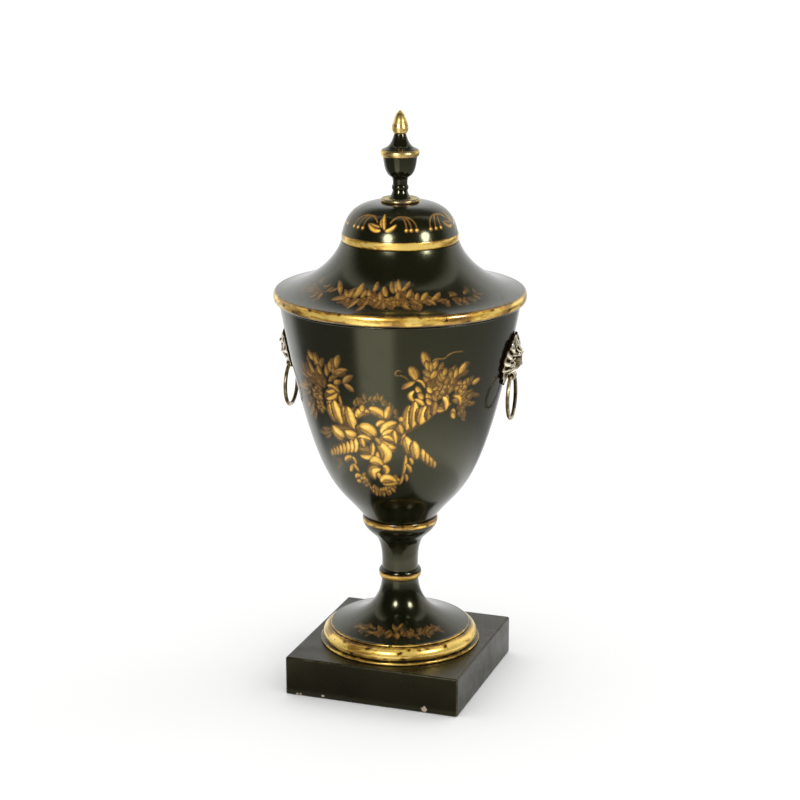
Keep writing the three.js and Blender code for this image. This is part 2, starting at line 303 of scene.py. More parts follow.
def around(stretches):
    """Angles round the urn, from (start, end, spacing) stretches in degrees that follow each other."""
    return np.concatenate([
        np.linspace(start, end, round((end - start) / spacing), endpoint=False)
        for start, end, spacing in stretches
    ])


def closed(grid, rows_too=False):
    """Grid of point numbers with its first column again after its last, and its first row too if asked."""
    grid = np.hstack((grid, grid[:, :1]))
    return np.vstack((grid, grid[:1])) if rows_too else grid


def grid_faces(grid):
    """Four-cornered faces between the neighbours in a grid of point numbers."""
    corners = (grid[:-1, :-1], grid[:-1, 1:], grid[1:, 1:], grid[1:, :-1])
    return np.stack(corners, axis=2).reshape(-1, 4)


def square(half):
    """Corners of a square about the middle, anticlockwise."""
    return ((-half, -half), (half, -half), (half, half), (-half, half))


def direction(turn):
    """Vector one long at an angle in radians."""
    return np.array([math.cos(turn), math.sin(turn)])


def full_turn(count, start=0):
    """Angles evenly round a circle, in radians; start is a share of one spacing."""
    return (np.arange(count) + start) / count * 2 * math.pi


def scene_object(name, data):
    """New object in the scene."""
    piece = bpy.data.objects.new(name, data)
    bpy.context.scene.collection.objects.link(piece)
    return piece


def smooth_mesh(name, points, faces):
    """Smooth mesh from points in millimetres."""
    mesh = bpy.data.meshes.new(name)
    mesh.from_pydata((np.asarray(points) * MM).tolist(), [], faces)
    mesh.polygons.foreach_set("use_smooth", np.ones(len(mesh.polygons), bool))
    return mesh


def smooth_object(name, points, faces, sharp=TURNED_SHARP):
    """Smooth mesh object from points in millimetres, with edges over so many degrees kept hard."""
    mesh = smooth_mesh(name, points, faces)
    mesh.set_sharp_from_angle(angle=math.radians(sharp))
    return scene_object(name, mesh)


def turned(name, profile, angles):
    """Piece turned about Z. Returns it with each point's angle, place in the profile and profile row."""
    profile = np.asarray(profile, float)
    keep = np.append(True, np.linalg.norm(np.diff(profile, axis=0), axis=1) > MERGED)
    profile = profile[keep]
    sides = len(angles)
    turn = np.radians(angles)
    points, faces, angle_of, row_of, rows = [], [], [], [], []
    for number, (radius, height) in enumerate(profile):
        first = len(angle_of)
        if radius < MERGED:
            points.append([[0, 0, height]])
            angle_of.append(0)
            row_of.append(number)
            rows.append(np.full(sides, first))
        else:
            ring = np.column_stack((radius * np.sin(turn), -radius * np.cos(turn), np.full(sides, height)))
            points.append(ring)
            angle_of.extend(angles)
            row_of.extend([number] * sides)
            rows.append(np.arange(first, first + sides))
    for low, high in zip(rows[:-1], rows[1:]):
        corners = grid_faces(closed(np.vstack((low, high))))
        low_is_point, high_is_point = low[0] == low[1], high[0] == high[1]
        if low_is_point and high_is_point:
            continue
        if low_is_point:
            corners = corners[:, [0, 2, 3]]
        elif high_is_point:
            corners = corners[:, [0, 1, 2]]
        faces.extend(corners.tolist())
    piece = smooth_object(name, np.vstack(points), faces)
    return piece, np.array(angle_of), profile[np.array(row_of)], np.array(row_of)


def store(piece, **values):
    """Keeps a number for each point of a piece, for its material to read."""
    for name, numbers in values.items():
        layer = piece.data.attributes.new(name, "FLOAT", "POINT")
        layer.data.foreach_set("value", np.asarray(numbers, np.float32))


def turned_to_front(angle):
    """Angles of -180 to 180 degrees, with 0 at the painted front."""
    return (angle + 180) % 360 - 180


def gilt_bands(height, bands):
    """Distance inside the nearest gilded band's edge, and that band's painted light."""
    inside = np.array([np.minimum(height - low, high - height) for low, high, _ in bands])
    lustre = np.array([band[2] for band in bands])
    return inside.max(axis=0), lustre[inside.argmax(axis=0)]


def share_of(distance):
    """Distance inside an edge as a share for a material, 0.5 at the edge."""
    return 0.5 + 0.5 * np.clip(distance / Paint.REACH, -1, 1)


def worn_away(band, angle, place, wear):
    """The same distance, with ragged bare places worn into the bands, longer sideways than upright."""
    for turn, level, radius in wear:
        aside = np.radians(turned_to_front(angle - turn)) * place[:, 0] / WEAR_STRETCH
        rise = place[:, 1] - level
        around_it = np.arctan2(rise, aside)
        ragged = WEAR_SHARE
        for number, lean, height in WEAR_WAVES:
            ragged = ragged + height * np.sin(number * around_it + lean * turn)
        band = np.minimum(band, np.hypot(aside, rise) - radius * ragged)
    return band


def smoothstep(low, high, value):
    t = np.clip((value - low) / (high - low), 0, 1)
    return t * t * (3 - 2 * t)


class Paint:
    """Gold brush marks on a surface, placed in degrees across and millimetres up."""

    # How far from a mark's edge distances are kept, and the steps along its curve
    REACH = 1.2
    STEPS = 24
    NO_LENGTH = 1e-9
    # Dark contour round a mark, which on a thin mark is only a fifth of its width
    CONTOUR = 0.22
    CONTOUR_PARTS = 5
    CONTOUR_TONE = 0.19
    CONTOUR_FADE = (-0.1, 0.3)
    # Light on a mark: darker at the rim, brighter in the core and on one side, less towards its end
    RIM_TONE = 0.5
    CORE = 0.6
    CORE_SPARE = 0.15
    SIDE_LIGHT = 0.34
    SIDE_SPARE = 0.2
    END_FADE = 0.32
    # Width of a vein, and the brown fold along a broad mark
    LINE_WIDTH = 0.45
    BROAD = 3.5
    FOLD = 0.42
    FOLD_SIDE = -0.3
    # Leaves, petals, dabs and ribs, and how much the leaves of a cluster vary
    LEAF_POINT = 0.85
    LEAF_VEIN = 0.22
    PETAL = {"start": 0.3, "end": 1.15, "width": 1.1, "blunt": 0.5, "vein": 0.15}
    EYE = {"width": 0.7, "tone": 0.3, "dot": 0.45}
    DAB = np.array([0.2, 0])
    RIB_BLUNT = 0.5
    CLUSTER_SWING = 0.7
    CLUSTER_BEND = 0.2
    CLUSTER_TONES = (0.7, 1.1)

    def __init__(self, across, up, degree=1.0):
        """A degree's length in millimetres tells how wide the surface is."""
        self.degree = degree
        self.across = across * degree
        self.up = up
        self.edge = np.full(len(across), -self.REACH)
        self.tone = np.zeros(len(across))
        self.strength = np.ones(len(across))

    def mark(self, route, width, blunt=0.5, tone=1.0, vein=0.0, strength=1.0, vein_side=0.0):
        """One brush mark along a curve, which swells in the middle, and less the lower blunt is.

        A vein darkens a line along the mark, to one side of its middle where vein_side isn't 0.
        """
        route = np.array(route, float) * [self.degree, 1]
        t = np.linspace(0, 1, self.STEPS + 1)
        line = np.zeros((self.STEPS + 1, 2))
        order = len(route) - 1
        for k, corner in enumerate(route):
            line += (math.comb(order, k) * (1 - t) ** (order - k) * t ** k)[:, None] * corner
        reach = width / 2 * (4 * t * (1 - t)) ** blunt
        margin = width / 2 + self.REACH
        low, high = line.min(axis=0) - margin, line.max(axis=0) + margin
        near = (self.across > low[0]) & (self.across < high[0]) & (self.up > low[1]) & (self.up < high[1])
        near = np.flatnonzero(near)
        if not len(near):
            return
        offset = np.column_stack((self.across[near], self.up[near]))[:, None, :] - line[None, :, :]
        depth = reach - np.linalg.norm(offset, axis=2)
        deepest = depth.argmax(axis=1)
        chosen = np.arange(len(near)), deepest
        inside, half, beside = depth[chosen], reach[deepest], offset[chosen]
        along = np.gradient(line, axis=0)[deepest]
        side = along[:, 0] * beside[:, 1] - along[:, 1] * beside[:, 0]
        side /= np.linalg.norm(along, axis=1) + self.NO_LENGTH
        core = smoothstep(0, self.CORE, inside / (half + self.CORE_SPARE))
        lean = np.clip(side / (half + self.SIDE_SPARE), -1, 1)
        shade = self.RIM_TONE + (1 - self.RIM_TONE) * core + self.SIDE_LIGHT * lean
        from_vein = (side - vein_side * half) / self.LINE_WIDTH
        shade = tone * (shade - vein * np.exp(-from_vein ** 2) - self.END_FADE * t[deepest] ** 2)
        shade = self.CONTOUR_TONE + (shade - self.CONTOUR_TONE) * smoothstep(*self.CONTOUR_FADE, inside)
        inside = inside + min(self.CONTOUR, width / self.CONTOUR_PARTS)
        on_top = inside > np.minimum(self.edge[near], 0)
        self.tone[near] = np.where(on_top, shade, self.tone[near])
        self.strength[near] = np.where(on_top, strength, self.strength[near])
        self.edge[near] = np.maximum(self.edge[near], inside)

    def marks(self, *strokes, blunt=0.4, strength=1.0):
        """Several brush marks, each a tone, a width and its curve's points. Broad ones have a brown fold."""
        for tone, width, *route in strokes:
            fold = self.FOLD if width > self.BROAD else 0
            self.mark(route, width, blunt, tone, fold, strength, self.FOLD_SIDE)

    def leaf(self, base, tip, width, bend=0.12, tone=1.0, strength=1.0):
        """Pointed leaf with a dark middle vein."""
        base, tip = np.array(base, float), np.array(tip, float)
        along = tip - base
        middle = (base + tip) / 2 + bend * np.array([-along[1], along[0]])
        self.mark([base, middle, tip], width, self.LEAF_POINT, tone, self.LEAF_VEIN, strength)

    def flower(self, middle, radius, petals=5, turn=0.0, tone=1.0, strength=1.0):
        """Open blossom: round petals about a dark eye with a bright dot."""
        middle = np.array(middle, float)
        petal, eye = self.PETAL, self.EYE
        for number in range(petals):
            angle = turn + 2 * math.pi * number / petals
            out = radius * direction(angle)
            route = [middle + petal["start"] * out, middle + petal["end"] * out]
            self.mark(route, petal["width"] * radius, petal["blunt"], tone, petal["vein"], strength)
        self.dot(middle, eye["width"] * radius, eye["tone"], strength)
        self.dot(middle, eye["dot"] * radius, tone, strength)

    def dot(self, middle, width, tone=1.0, strength=1.0):
        """Round dab of the brush."""
        middle = np.array(middle, float)
        self.mark([middle - self.DAB, middle + self.DAB], width, 0, tone, 0, strength)

    def ribs(self, start, end, number, reach, width, tone=(1, 1), bow=0.7):
        """Row of curved ribs; reach, width and tone run from the first rib's to the last one's."""
        runs = [np.array(run, float) for run in ((start, end), reach, width, tone)]
        for share in np.linspace(0, 1, number):
            middle, half, wide, light = [first + share * (last - first) for first, last in runs]
            curve = middle + bow * np.array([half[1], -half[0]]) / np.linalg.norm(half)
            self.mark([middle + half, curve, middle - half], wide, self.RIB_BLUNT, light)

    def cluster(self, root, fan, reach, number, size, tone, seed, strength=1.0, widths=(1.7, 2.7)):
        """Loose fan of small leaves round a root; fan is in degrees, the sizes are in millimetres."""
        random = np.random.default_rng(seed)
        for _ in range(number):
            turn = math.radians(random.uniform(*fan))
            base = np.array(root) + direction(turn) * random.uniform(*reach)
            swing = turn + random.uniform(-self.CLUSTER_SWING, self.CLUSTER_SWING)
            tip = base + random.uniform(*size) * direction(swing)
            bend = random.uniform(-self.CLUSTER_BEND, self.CLUSTER_BEND)
            width = random.uniform(*widths)
            self.leaf(base, tip, width, bend, tone * random.uniform(*self.CLUSTER_TONES), strength)

    def take(self, other, where):
        """Takes over another painting's marks on some of the points."""
        self.edge = np.where(where, other.edge, self.edge)
        self.tone = np.where(where, other.tone, self.tone)
        self.strength = np.where(where, other.strength, self.strength)

    def store_on(self, piece, band, lustre):
        """Puts the brush marks on a piece, with its gilded bands."""
        store(piece, gilt=share_of(self.edge), tone=np.clip(self.tone, 0, 1), strength=self.strength)
        store(piece, band=share_of(band), lustre=lustre)


def paint_horns(paint):
    """Two crossed horns of plenty, ribbed, with the tail of each below the other's mouth."""
    paint.marks(
        (0.4, 12.6, (-28, 171), (-21, 171), (-14.4, 168.4)),
        (0.36, 4, (-28.4, 161.8), (-21, 161.4), (-13.4, 161.4)),
        (0.42, 10, (15.4, 165), (20, 170.6), (31.4, 176)),
        (0.36, 5, (26.4, 148.6), (36, 141)),
        (0.36, 6, (-15, 152.8), (-34, 146)),
        blunt=0.3,
    )
    paint.marks(
        (0.8, 5.8, (-28.8, 175.4), (-28.2, 169), (-26.2, 166)),
        (0.94, 7.2, (-24.8, 178), (-24.2, 170), (-22.2, 165)),
        (0.76, 4.4, (-19.4, 175.6), (-18.8, 169), (-17.6, 163.8)),
        (0.96, 6.8, (-16.2, 175.6), (-15.4, 168), (-14, 163)),
        (0.92, 8, (-29, 161.4), (-26.2, 156.4), (-22.2, 157)),
        (0.94, 6.6, (-20.2, 160.2), (-16.2, 156.8), (-12.8, 160)),
        blunt=0.55,
    )
    paint.marks(
        (0.96, 5.8, (18.2, 178.6), (17, 171), (16.6, 164)),
        (0.9, 5.6, (21, 181), (20.8, 172), (20, 165.4)),
        (0.66, 2.6, (22.6, 177), (22.9, 172), (22.4, 168.6)),
        (0.94, 6.8, (26.2, 177.6), (25.6, 172), (24.2, 167.8)),
        (0.6, 4.4, (29, 178), (29, 173), (28.2, 170)),
        (0.56, 4.4, (31.8, 180), (31.8, 175.6), (31, 172.4)),
        (0.86, 3.1, (13.6, 171.2), (14, 169.8)),
        (0.8, 4.4, (12.8, 167), (13, 164.4), (14, 162)),
        (0.66, 3.1, (15.8, 162), (15, 158), (14, 155.4)),
        blunt=0.55,
    )
    paint.ribs((-14.8, 152.8), (-36.6, 144.6), 8, ((1, 4.3), (0.9, 1.7)), (3.8, 3.2), (1, 0.6))
    paint.marks(
        (0.94, 6.4, (16.4, 159.4), (18.2, 154), (19.8, 149)),
        (0.88, 6.2, (21.2, 156.6), (22.2, 151), (23.6, 146.2)),
        blunt=0.55,
    )
    paint.ribs((27.5, 148.1), (36, 141.2), 4, ((-0.9, 3.7), (-0.6, 2.2)), (3.2, 2.5), (0.84, 0.58))


def paint_bow(paint):
    """Ribbon tied where the horns cross, with loops to both sides and two ends hanging."""
    paint.marks(
        (0.44, 6, (-11, 150.4), (-5, 150)),
        (0.42, 9, (3.4, 156.6), (7, 158), (11.4, 158.4)),
        (0.4, 4, (-11.6, 165), (-10.4, 159)),
        blunt=0.3,
    )
    paint.marks(
        (0.9, 5.2, (-11, 170.6), (-8.6, 175.2), (-3.8, 173.8)),
        (0.85, 3.4, (-7.6, 174.6), (-6.8, 177.4)),
        (0.86, 5.6, (-2.8, 175.8), (0.8, 175.8), (5.6, 170.4)),
        (0.82, 4.4, (5.8, 171.4), (6.8, 174.4), (8.2, 178.2)),
        (0.86, 3.9, (0.6, 166.2), (2.6, 168.8), (4.8, 168)),
        (0.93, 8.4, (-8.6, 164.4), (-4.6, 163.6), (-2.4, 160.8)),
        (0.93, 4.4, (-11.4, 157.6), (-8, 158.6), (-4.4, 157.2)),
        (0.84, 4.6, (-10.2, 157), (-9.6, 152.8)),
        (0.86, 3.6, (-3.2, 155.4), (-3.6, 150), (-5.2, 147.4)),
        (0.9, 3.5, (-4.6, 147), (-8, 145.6), (-12, 146.8)),
        (0.93, 5.8, (3.2, 162), (5.6, 166.8), (11, 168)),
        (0.9, 4.6, (3.8, 160.2), (6, 162.6), (9.6, 163.2)),
        (0.92, 3.6, (9.8, 163.4), (9.8, 159.6), (10.6, 155.8)),
        (0.86, 4.1, (3.8, 159.2), (7, 159.4), (8.8, 157.2)),
        (0.93, 5.8, (2.4, 156), (5.6, 151.6), (10.4, 152.8)),
        blunt=0.42,
    )
    paint.marks(
        (0.93, 7.9, (0.6, 154.6), (5, 152), (5.6, 147.4), (2.6, 144.4)),
        (0.8, 3.4, (-0.6, 150), (-1.6, 146), (-0.4, 142.4)),
        (0.9, 6.4, (-5.2, 143.4), (-2, 145.6), (1.4, 141.8)),
        (0.93, 6.6, (0, 139.4), (-8.6, 139.6), (-4.8, 132.6)),
        (0.84, 4.8, (2.4, 140.8), (5.8, 140), (2.8, 136)),
        (0.85, 3.4, (-1.8, 136.4), (-0.6, 133.4)),
        (0.93, 6.4, (0.2, 131), (3.2, 135.2), (10.6, 130.8)),
        (0.7, 2.6, (0.8, 129.4), (6, 128.2), (12.4, 131)),
        (0.62, 2.9, (-1, 158.4), (0.6, 157), (1.4, 154.6)),
        blunt=0.5,
    )


def paint_wreath(paint):
    """Oval wreath behind the bow: broad leaves at the sides, small ones below, berries above."""
    paint.marks(
        (0.8, 3.6, (-25.2, 141.4), (-22, 145), (-18, 144)),
        (0.74, 2.8, (-18.4, 144.6), (-16.8, 143.4), (-17.2, 140.6)),
        (0.76, 3, (-23, 135.4), (-21, 137.4), (-19.2, 140)),
        (0.72, 2.8, (-19, 140), (-17.4, 138.6), (-16.2, 136.2)),
        (0.76, 3, (-19.8, 131.4), (-18.4, 134.4), (-14.6, 133)),
        (0.7, 2.8, (-19.4, 129.6), (-17.6, 128.8), (-16, 130.4)),
        (0.72, 2.5, (16.8, 148.4), (17.2, 142), (15, 135.6)),
        (0.62, 2.2, (15.2, 136), (14.6, 132), (13, 129.6)),
        (0.7, 2.7, (17.4, 142.6), (20, 140.6), (20.4, 137.4)),
        (0.7, 2.4, (19.4, 146.4), (21, 144.4), (21.2, 142.8)),
        (0.68, 2.4, (17, 136), (18.2, 134.4), (18, 131.8)),
    )
    random = np.random.default_rng(5)
    middle, leaf_oval, berry_oval = np.array([-1.5, 152]), np.array([17, 28]), np.array([18, 30.5])
    for degrees in np.linspace(222, 318, 15):
        out = direction(math.radians(degrees))
        place = middle + leaf_oval * out
        for side in (-1, 1):
            tip = place + out * side * random.uniform(2.2, 3.6)
            tip = tip + [random.uniform(-2.2, 2.2), random.uniform(-1, 1)]
            paint.leaf(place, tip, random.uniform(1.9, 2.7), 0.1, random.uniform(0.5, 0.82))
    for degrees in np.linspace(44, 134, 18):
        out = direction(math.radians(degrees + random.uniform(-3, 3)))
        place = middle + berry_oval * out + [0, random.uniform(-1.6, 1.6)]
        tip = place + [random.uniform(-1.8, 1.8), random.uniform(1.6, 3.4)]
        paint.leaf(place - [0, 1], tip, random.uniform(1.4, 2), 0.1, random.uniform(0.5, 0.7), 0.8)
        if random.random() < 0.6:
            berry = place + [random.uniform(-2, 2), random.uniform(-3, -1.6)]
            paint.dot(berry, 1.1, random.uniform(0.5, 0.7), 0.8)


# Leaves of the two bouquets: base, tip and width; of the loose petals only the middle
FADED_LEAVES = [
    ((-42, 174), (-53, 163), 3.6), ((-46, 173), (-54, 169), 2.8), ((-41, 170), (-47, 162), 2.8),
    ((-31, 158.6), (-44.6, 156), 3.4), ((-31, 160.6), (-40, 159), 2.4), ((-32, 157), (-39, 153.4), 2.4),
]
LEFT_LEAVES = [
    ((-19.8, 198), (-17.4, 206), 3.6), ((-21.6, 195), (-13.6, 198), 2.8), ((-21, 194.4), (-15.6, 196), 2.4),
    ((-24, 195), (-22.8, 202), 2.6), ((-26.8, 192), (-25.8, 198), 2.6), ((-17, 189.6), (-11, 195), 3.2),
    ((-16.4, 189.4), (-11.4, 185.6), 3), ((-30.6, 192), (-32, 198.6), 3.2), ((-31.4, 198), (-33.6, 204), 3.4),
    ((-35, 200), (-37.6, 205), 3.4), ((-22.6, 188.4), (-18.2, 190.6), 3), ((-36, 192), (-38.6, 198.6), 3.2),
]
RIGHT_LEAVES = [
    ((26.4, 200.6), (24, 210), 4.2), ((27, 199), (25.6, 205), 2.6), ((21.4, 193.8), (18, 201.6), 4.6),
    ((20.8, 192.8), (14.2, 188.6), 3), ((29.4, 199), (31, 205), 2.8), ((28.6, 198), (28, 203.6), 2.2),
    ((28.8, 194), (31.4, 198.6), 3.6), ((35.4, 195), (36.2, 199.6), 2.8), ((43.4, 195), (47.8, 201.6), 4.2),
    ((41.6, 193), (42.4, 199), 2.6), ((53.4, 188), (58.4, 190), 3.4), ((46, 186), (51, 191.8), 3),
    ((38.6, 184), (38.4, 174), 4), ((37.6, 174.4), (32.6, 176.4), 3.2), ((43, 175), (44.6, 168.6), 3.6),
]
RIGHT_PETALS = [(22.8, 188), (24.2, 184.4), (28.8, 187.6), (28.4, 183.8), (28.8, 180.6), (44.2, 170.8)]


def paint_bouquets(paint):
    """Leaves and blossoms that spill from the mouths of the two horns."""
    paint.cluster((-40, 180), (80, 280), (2, 13), 26, (5, 8.5), 0.5, 11, 0.5, (2.2, 3.2))
    paint.mark([(-45, 180.6), (-53, 181.6), (-61, 179.4)], 3.4, 0.5, 0.55, 0, 0.6)
    for base, tip, width in FADED_LEAVES:
        paint.leaf(base, tip, width, 0.1, 0.58, 0.6)
    paint.cluster((-26, 143), (190, 235), (1, 9), 9, (4, 6), 0.5, 3, 0.45)
    paint.flower((-37, 179.6), 3.4, 6, 0.4, 0.6)
    paint.flower((-36, 172.6), 3, 5, 1, 0.6, 0.85)
    paint.cluster((-31, 184), (40, 210), (1, 17), 46, (5, 8), 0.48, 21, 0.85, (2.2, 3.3))
    paint.marks(
        (0.3, 7, (-29.4, 178.6), (-26, 181), (-21, 185.4)),
        (0.74, 2.8, (-29, 183), (-25, 181.4), (-20.6, 187.4)),
        (0.82, 3.2, (-29.6, 178.4), (-25.4, 178), (-21.4, 183)),
        (0.7, 2.6, (-27.4, 186.4), (-23.6, 187.6), (-20.4, 184)),
        (0.6, 2.2, (-30.4, 175.8), (-27, 176.8), (-23, 178.2)),
        (0.6, 2, (-20.2, 182), (-20.6, 178.6), (-19.8, 176.6)),
        blunt=0.5,
    )
    paint.cluster((35, 181), (-40, 80), (8, 20), 22, (4.4, 7), 0.5, 8, 0.6, (2, 3))
    paint.cluster((33, 178), (-5, 112), (2, 18), 40, (5.4, 8.4), 0.58, 13, 1, (2.6, 3.8))
    paint.cluster((45, 176), (-70, 20), (0, 9), 14, (3, 5), 0.56, 4, 0.7)
    for leaves, bend, tone in ((LEFT_LEAVES, 0.1, 0.58), (RIGHT_LEAVES, -0.1, 0.7)):
        for base, tip, width in leaves:
            paint.leaf(base, tip, width, bend, tone)
    for middle, radius, turn in (((34, 187.4), 3, 0.3), ((46.4, 187.4), 3, 0.8)):
        paint.flower(middle, radius, 5, turn, 0.66)
    for across, up in RIGHT_PETALS:
        paint.leaf((across + 1.1, up - 2), (across - 1.1, up + 2), 2.9, 0.12, 0.9)
    paint.marks(
        (0.95, 2.8, (20.4, 187.4), (16.4, 184.4), (20.8, 181)),
        (0.9, 2.6, (21, 182.4), (24.6, 181), (25.8, 178)),
        (0.85, 1.6, (21.4, 193.6), (24.6, 193.4), (26, 188.8)),
        (0.92, 3.4, (36.4, 182.4), (39.2, 180), (38.6, 174.6)),
        (0.78, 2.6, (43, 182), (47.2, 182), (47.4, 176)),
        (0.7, 2.2, (33, 175), (35.4, 174), (38, 174.4)),
        blunt=0.5,
    )


def paint_tendrils(paint):
    """Two fine curling stems above the right-hand bouquet."""
    for route, strength in (
        ([(14, 199), (10.6, 201), (9.4, 195.4), (13.8, 196.4)], 0.5),
        ([(13.4, 196.6), (15.6, 196), (17.4, 193.8)], 0.5),
        ([(29, 204), (31.6, 207.6), (33, 203.4), (36, 206)], 0.6),
        ([(36, 206), (38, 208.6), (41, 208.6), (45, 208)], 0.55),
    ):
        paint.mark(route, 0.9, 0.15, 0.62, 0, strength)


def paint_sprig(paint, turn):
    """Small upright sprig for the back: a stem with pairs of leaves, and a bud on top."""
    paint.mark([(turn - 1.5, 142), (turn + 1.5, 160), (turn, 182)], 1.2, 0.2, 0.7)
    for number in range(6):
        height, spread = 148 + 5.4 * number, 11 - 1.1 * number
        for side in (-1, 1):
            tip = (turn + side * spread, height + 6)
            paint.leaf((turn, height), tip, 3.4 - 0.2 * number, 0.15 * side, 0.8)
    paint.flower((turn, 184), 2.6, 5, 0.3, 0.85)
    for side in (-1, 1):
        paint.mark([(turn, 146), (turn + side * 7, 147.5), (turn + side * 9, 140)], 2.2, 0.4, 0.8)


def bowl():
    """The bowl, with the painted trophy on its front and a sprig on its back."""
    outside = spaced(BODY_CURVE, BODY_PAINT, FINE_STEP)
    inside = thinned(inset(sweep(BODY_CURVE, PLAIN_STEP), WALL), BOWL_INSIDE_SHARE)[::-1]
    profile = np.vstack((
        [[0, FOOT_TOP]],
        outside,
        bead(*BODY_LIP, steps=10),
        [[inside[0, 0], BODY_LIP[2]]],
        inside,
        [[0, inside[-1, 1]]],
    ))
    piece, angle, place, row = turned("bowl", profile, around(BOWL_AROUND))
    height = np.where(row <= len(outside), place[:, 1], 0)
    paint = Paint(turned_to_front(angle), height)
    paint_wreath(paint)
    paint_bouquets(paint)
    paint_horns(paint)
    paint_bow(paint)
    paint_tendrils(paint)
    back = Paint(angle, height)
    paint_sprig(back, 180)
    behind = np.abs(turned_to_front(angle)) > 90
    paint.take(back, behind)
    paint.store_on(piece, np.full(len(angle), UNGILT), np.ones(len(angle)))
    return piece


# Leaves of the lid's garland: base, tip and width, in degrees and in millimetres from the flange's edge
GARLAND_TOP = [
    ((-24, 16), (-35, 26), 3), ((-16, 15), (-24, 20.8), 2.8), ((-14.5, 15), (-13.4, 27), 5),
    ((-17, 15), (-17.6, 23), 3), ((-10, 16), (-9, 22), 3), ((-3.6, 16), (-7.2, 23), 2.8),
    ((-4, 21), (-3, 28.4), 3.4), ((5.6, 18), (2.4, 25.6), 3.4), ((2, 14.6), (0.4, 21), 2.8),
    ((9.5, 20.5), (7, 29), 3), ((10.8, 21), (9.8, 29), 2.4), ((14, 22), (12, 30.4), 2.8),
    ((14.6, 23), (20.6, 29), 2.6), ((14, 22), (19.6, 26), 2.2), ((17, 17), (20.6, 23.6), 3.2),
    ((12, 16), (12.6, 22), 2.8), ((22, 15), (24.4, 21), 2.6), ((25.6, 14.6), (31, 20.6), 3.2),
    ((31, 14.4), (39, 20.2), 3),
]
GARLAND_BOTTOM = [
    ((-17, 16), (-27, 11), 4.4), ((-19, 15), (-16, 9.6), 3.2), ((-10.5, 15), (-13.6, 4.8), 3),
    ((-6, 12), (-8, 3), 2.4), ((-3.6, 16), (-7, 8.6), 3.2), ((2, 15), (-0.6, 8.2), 2.6),
    ((4, 14), (5, 6.2), 2.6), ((8, 15.6), (10, 8.6), 2.8), ((13, 15.6), (18.6, 6.2), 3),
    ((20, 15), (24.6, 9.2), 3), ((10, 17.6), (13, 10.4), 2.8), ((28.6, 15), (32.4, 10), 2.8),
]


def paint_garland(paint):
    """Leaf garland on the lid's flange, denser in the middle and fading out to the sides."""
    for root, strength, seed in (((-38, 15), 0.75, 6), ((-47, 16.5), 0.6, 17), ((-56, 17), 0.45, 18)):
        paint.cluster(root, (0, 360), (0, 5), 10, (4.2, 6.4), 0.46, seed, strength, (2.2, 3))
    for root, strength, seed in (((43, 14.6), 0.7, 7), ((51, 14.2), 0.6, 19), ((59, 14.6), 0.5, 20)):
        paint.cluster(root, (0, 360), (0, 4.5), 8, (4, 6), 0.46, seed, strength, (2, 2.8))
    for across in range(-18, 29, 6):
        paint.cluster((across, 15), (0, 360), (0, 5), 7, (4.4, 6.6), 0.36, 40 + across, 1, (2.4, 3.2))
    for leaves, tone in ((GARLAND_BOTTOM, 0.48), (GARLAND_TOP, 0.57)):
        for number, (base, tip, width) in enumerate(leaves):
            paint.leaf(base, tip, width, 0.1 if number % 2 else -0.1, tone + 0.05 * (number % 3 - 1))
    for middle, radius in (((-3, 15.5), 2.6), ((8, 14.5), 2.6), ((15, 14), 2)):
        paint.flower(middle, radius, 6, 0.4, 0.5)


def paint_frieze(paint):
    """Four lilies round the dome, with arched stems between them that end in drops."""
    for turn in (85, 175, 265, -5):
        strength = 1 if turn < 0 else 0.4
        for side, drops in ((1, (25, 30, 36)), (-1, (24, 31, 38))):
            for drop in drops:
                end = turn + side * drop
                route = [(turn + side * 7, 10.2), (turn + side * 14, 17.6), (end, 16.4), (end, 7)]
                paint.mark(route, 0.9, 0.08, 0.62)
                paint.dot((end, 6.5), 2.0, 0.92)
        paint.marks(
            (0.7, 1.6, (turn + 0.6, 8), (turn - 4.4, 9), (turn - 3.4, 13.4)),
            (0.8, 2.3, (turn + 2, 7), (turn, 11), (turn - 2, 16.6)),
            (0.95, 2.4, (turn + 3.6, 6.2), (turn + 8, 6), (turn + 14, 9.8)),
            (0.82, 2.6, (turn - 2.6, 6.4), (turn - 10, 5), (turn - 18, 9.6)),
            (0.7, 1.3, (turn - 3.4, 8.2), (turn - 9, 8.8), (turn - 16, 9.8)),
            strength=strength,
        )


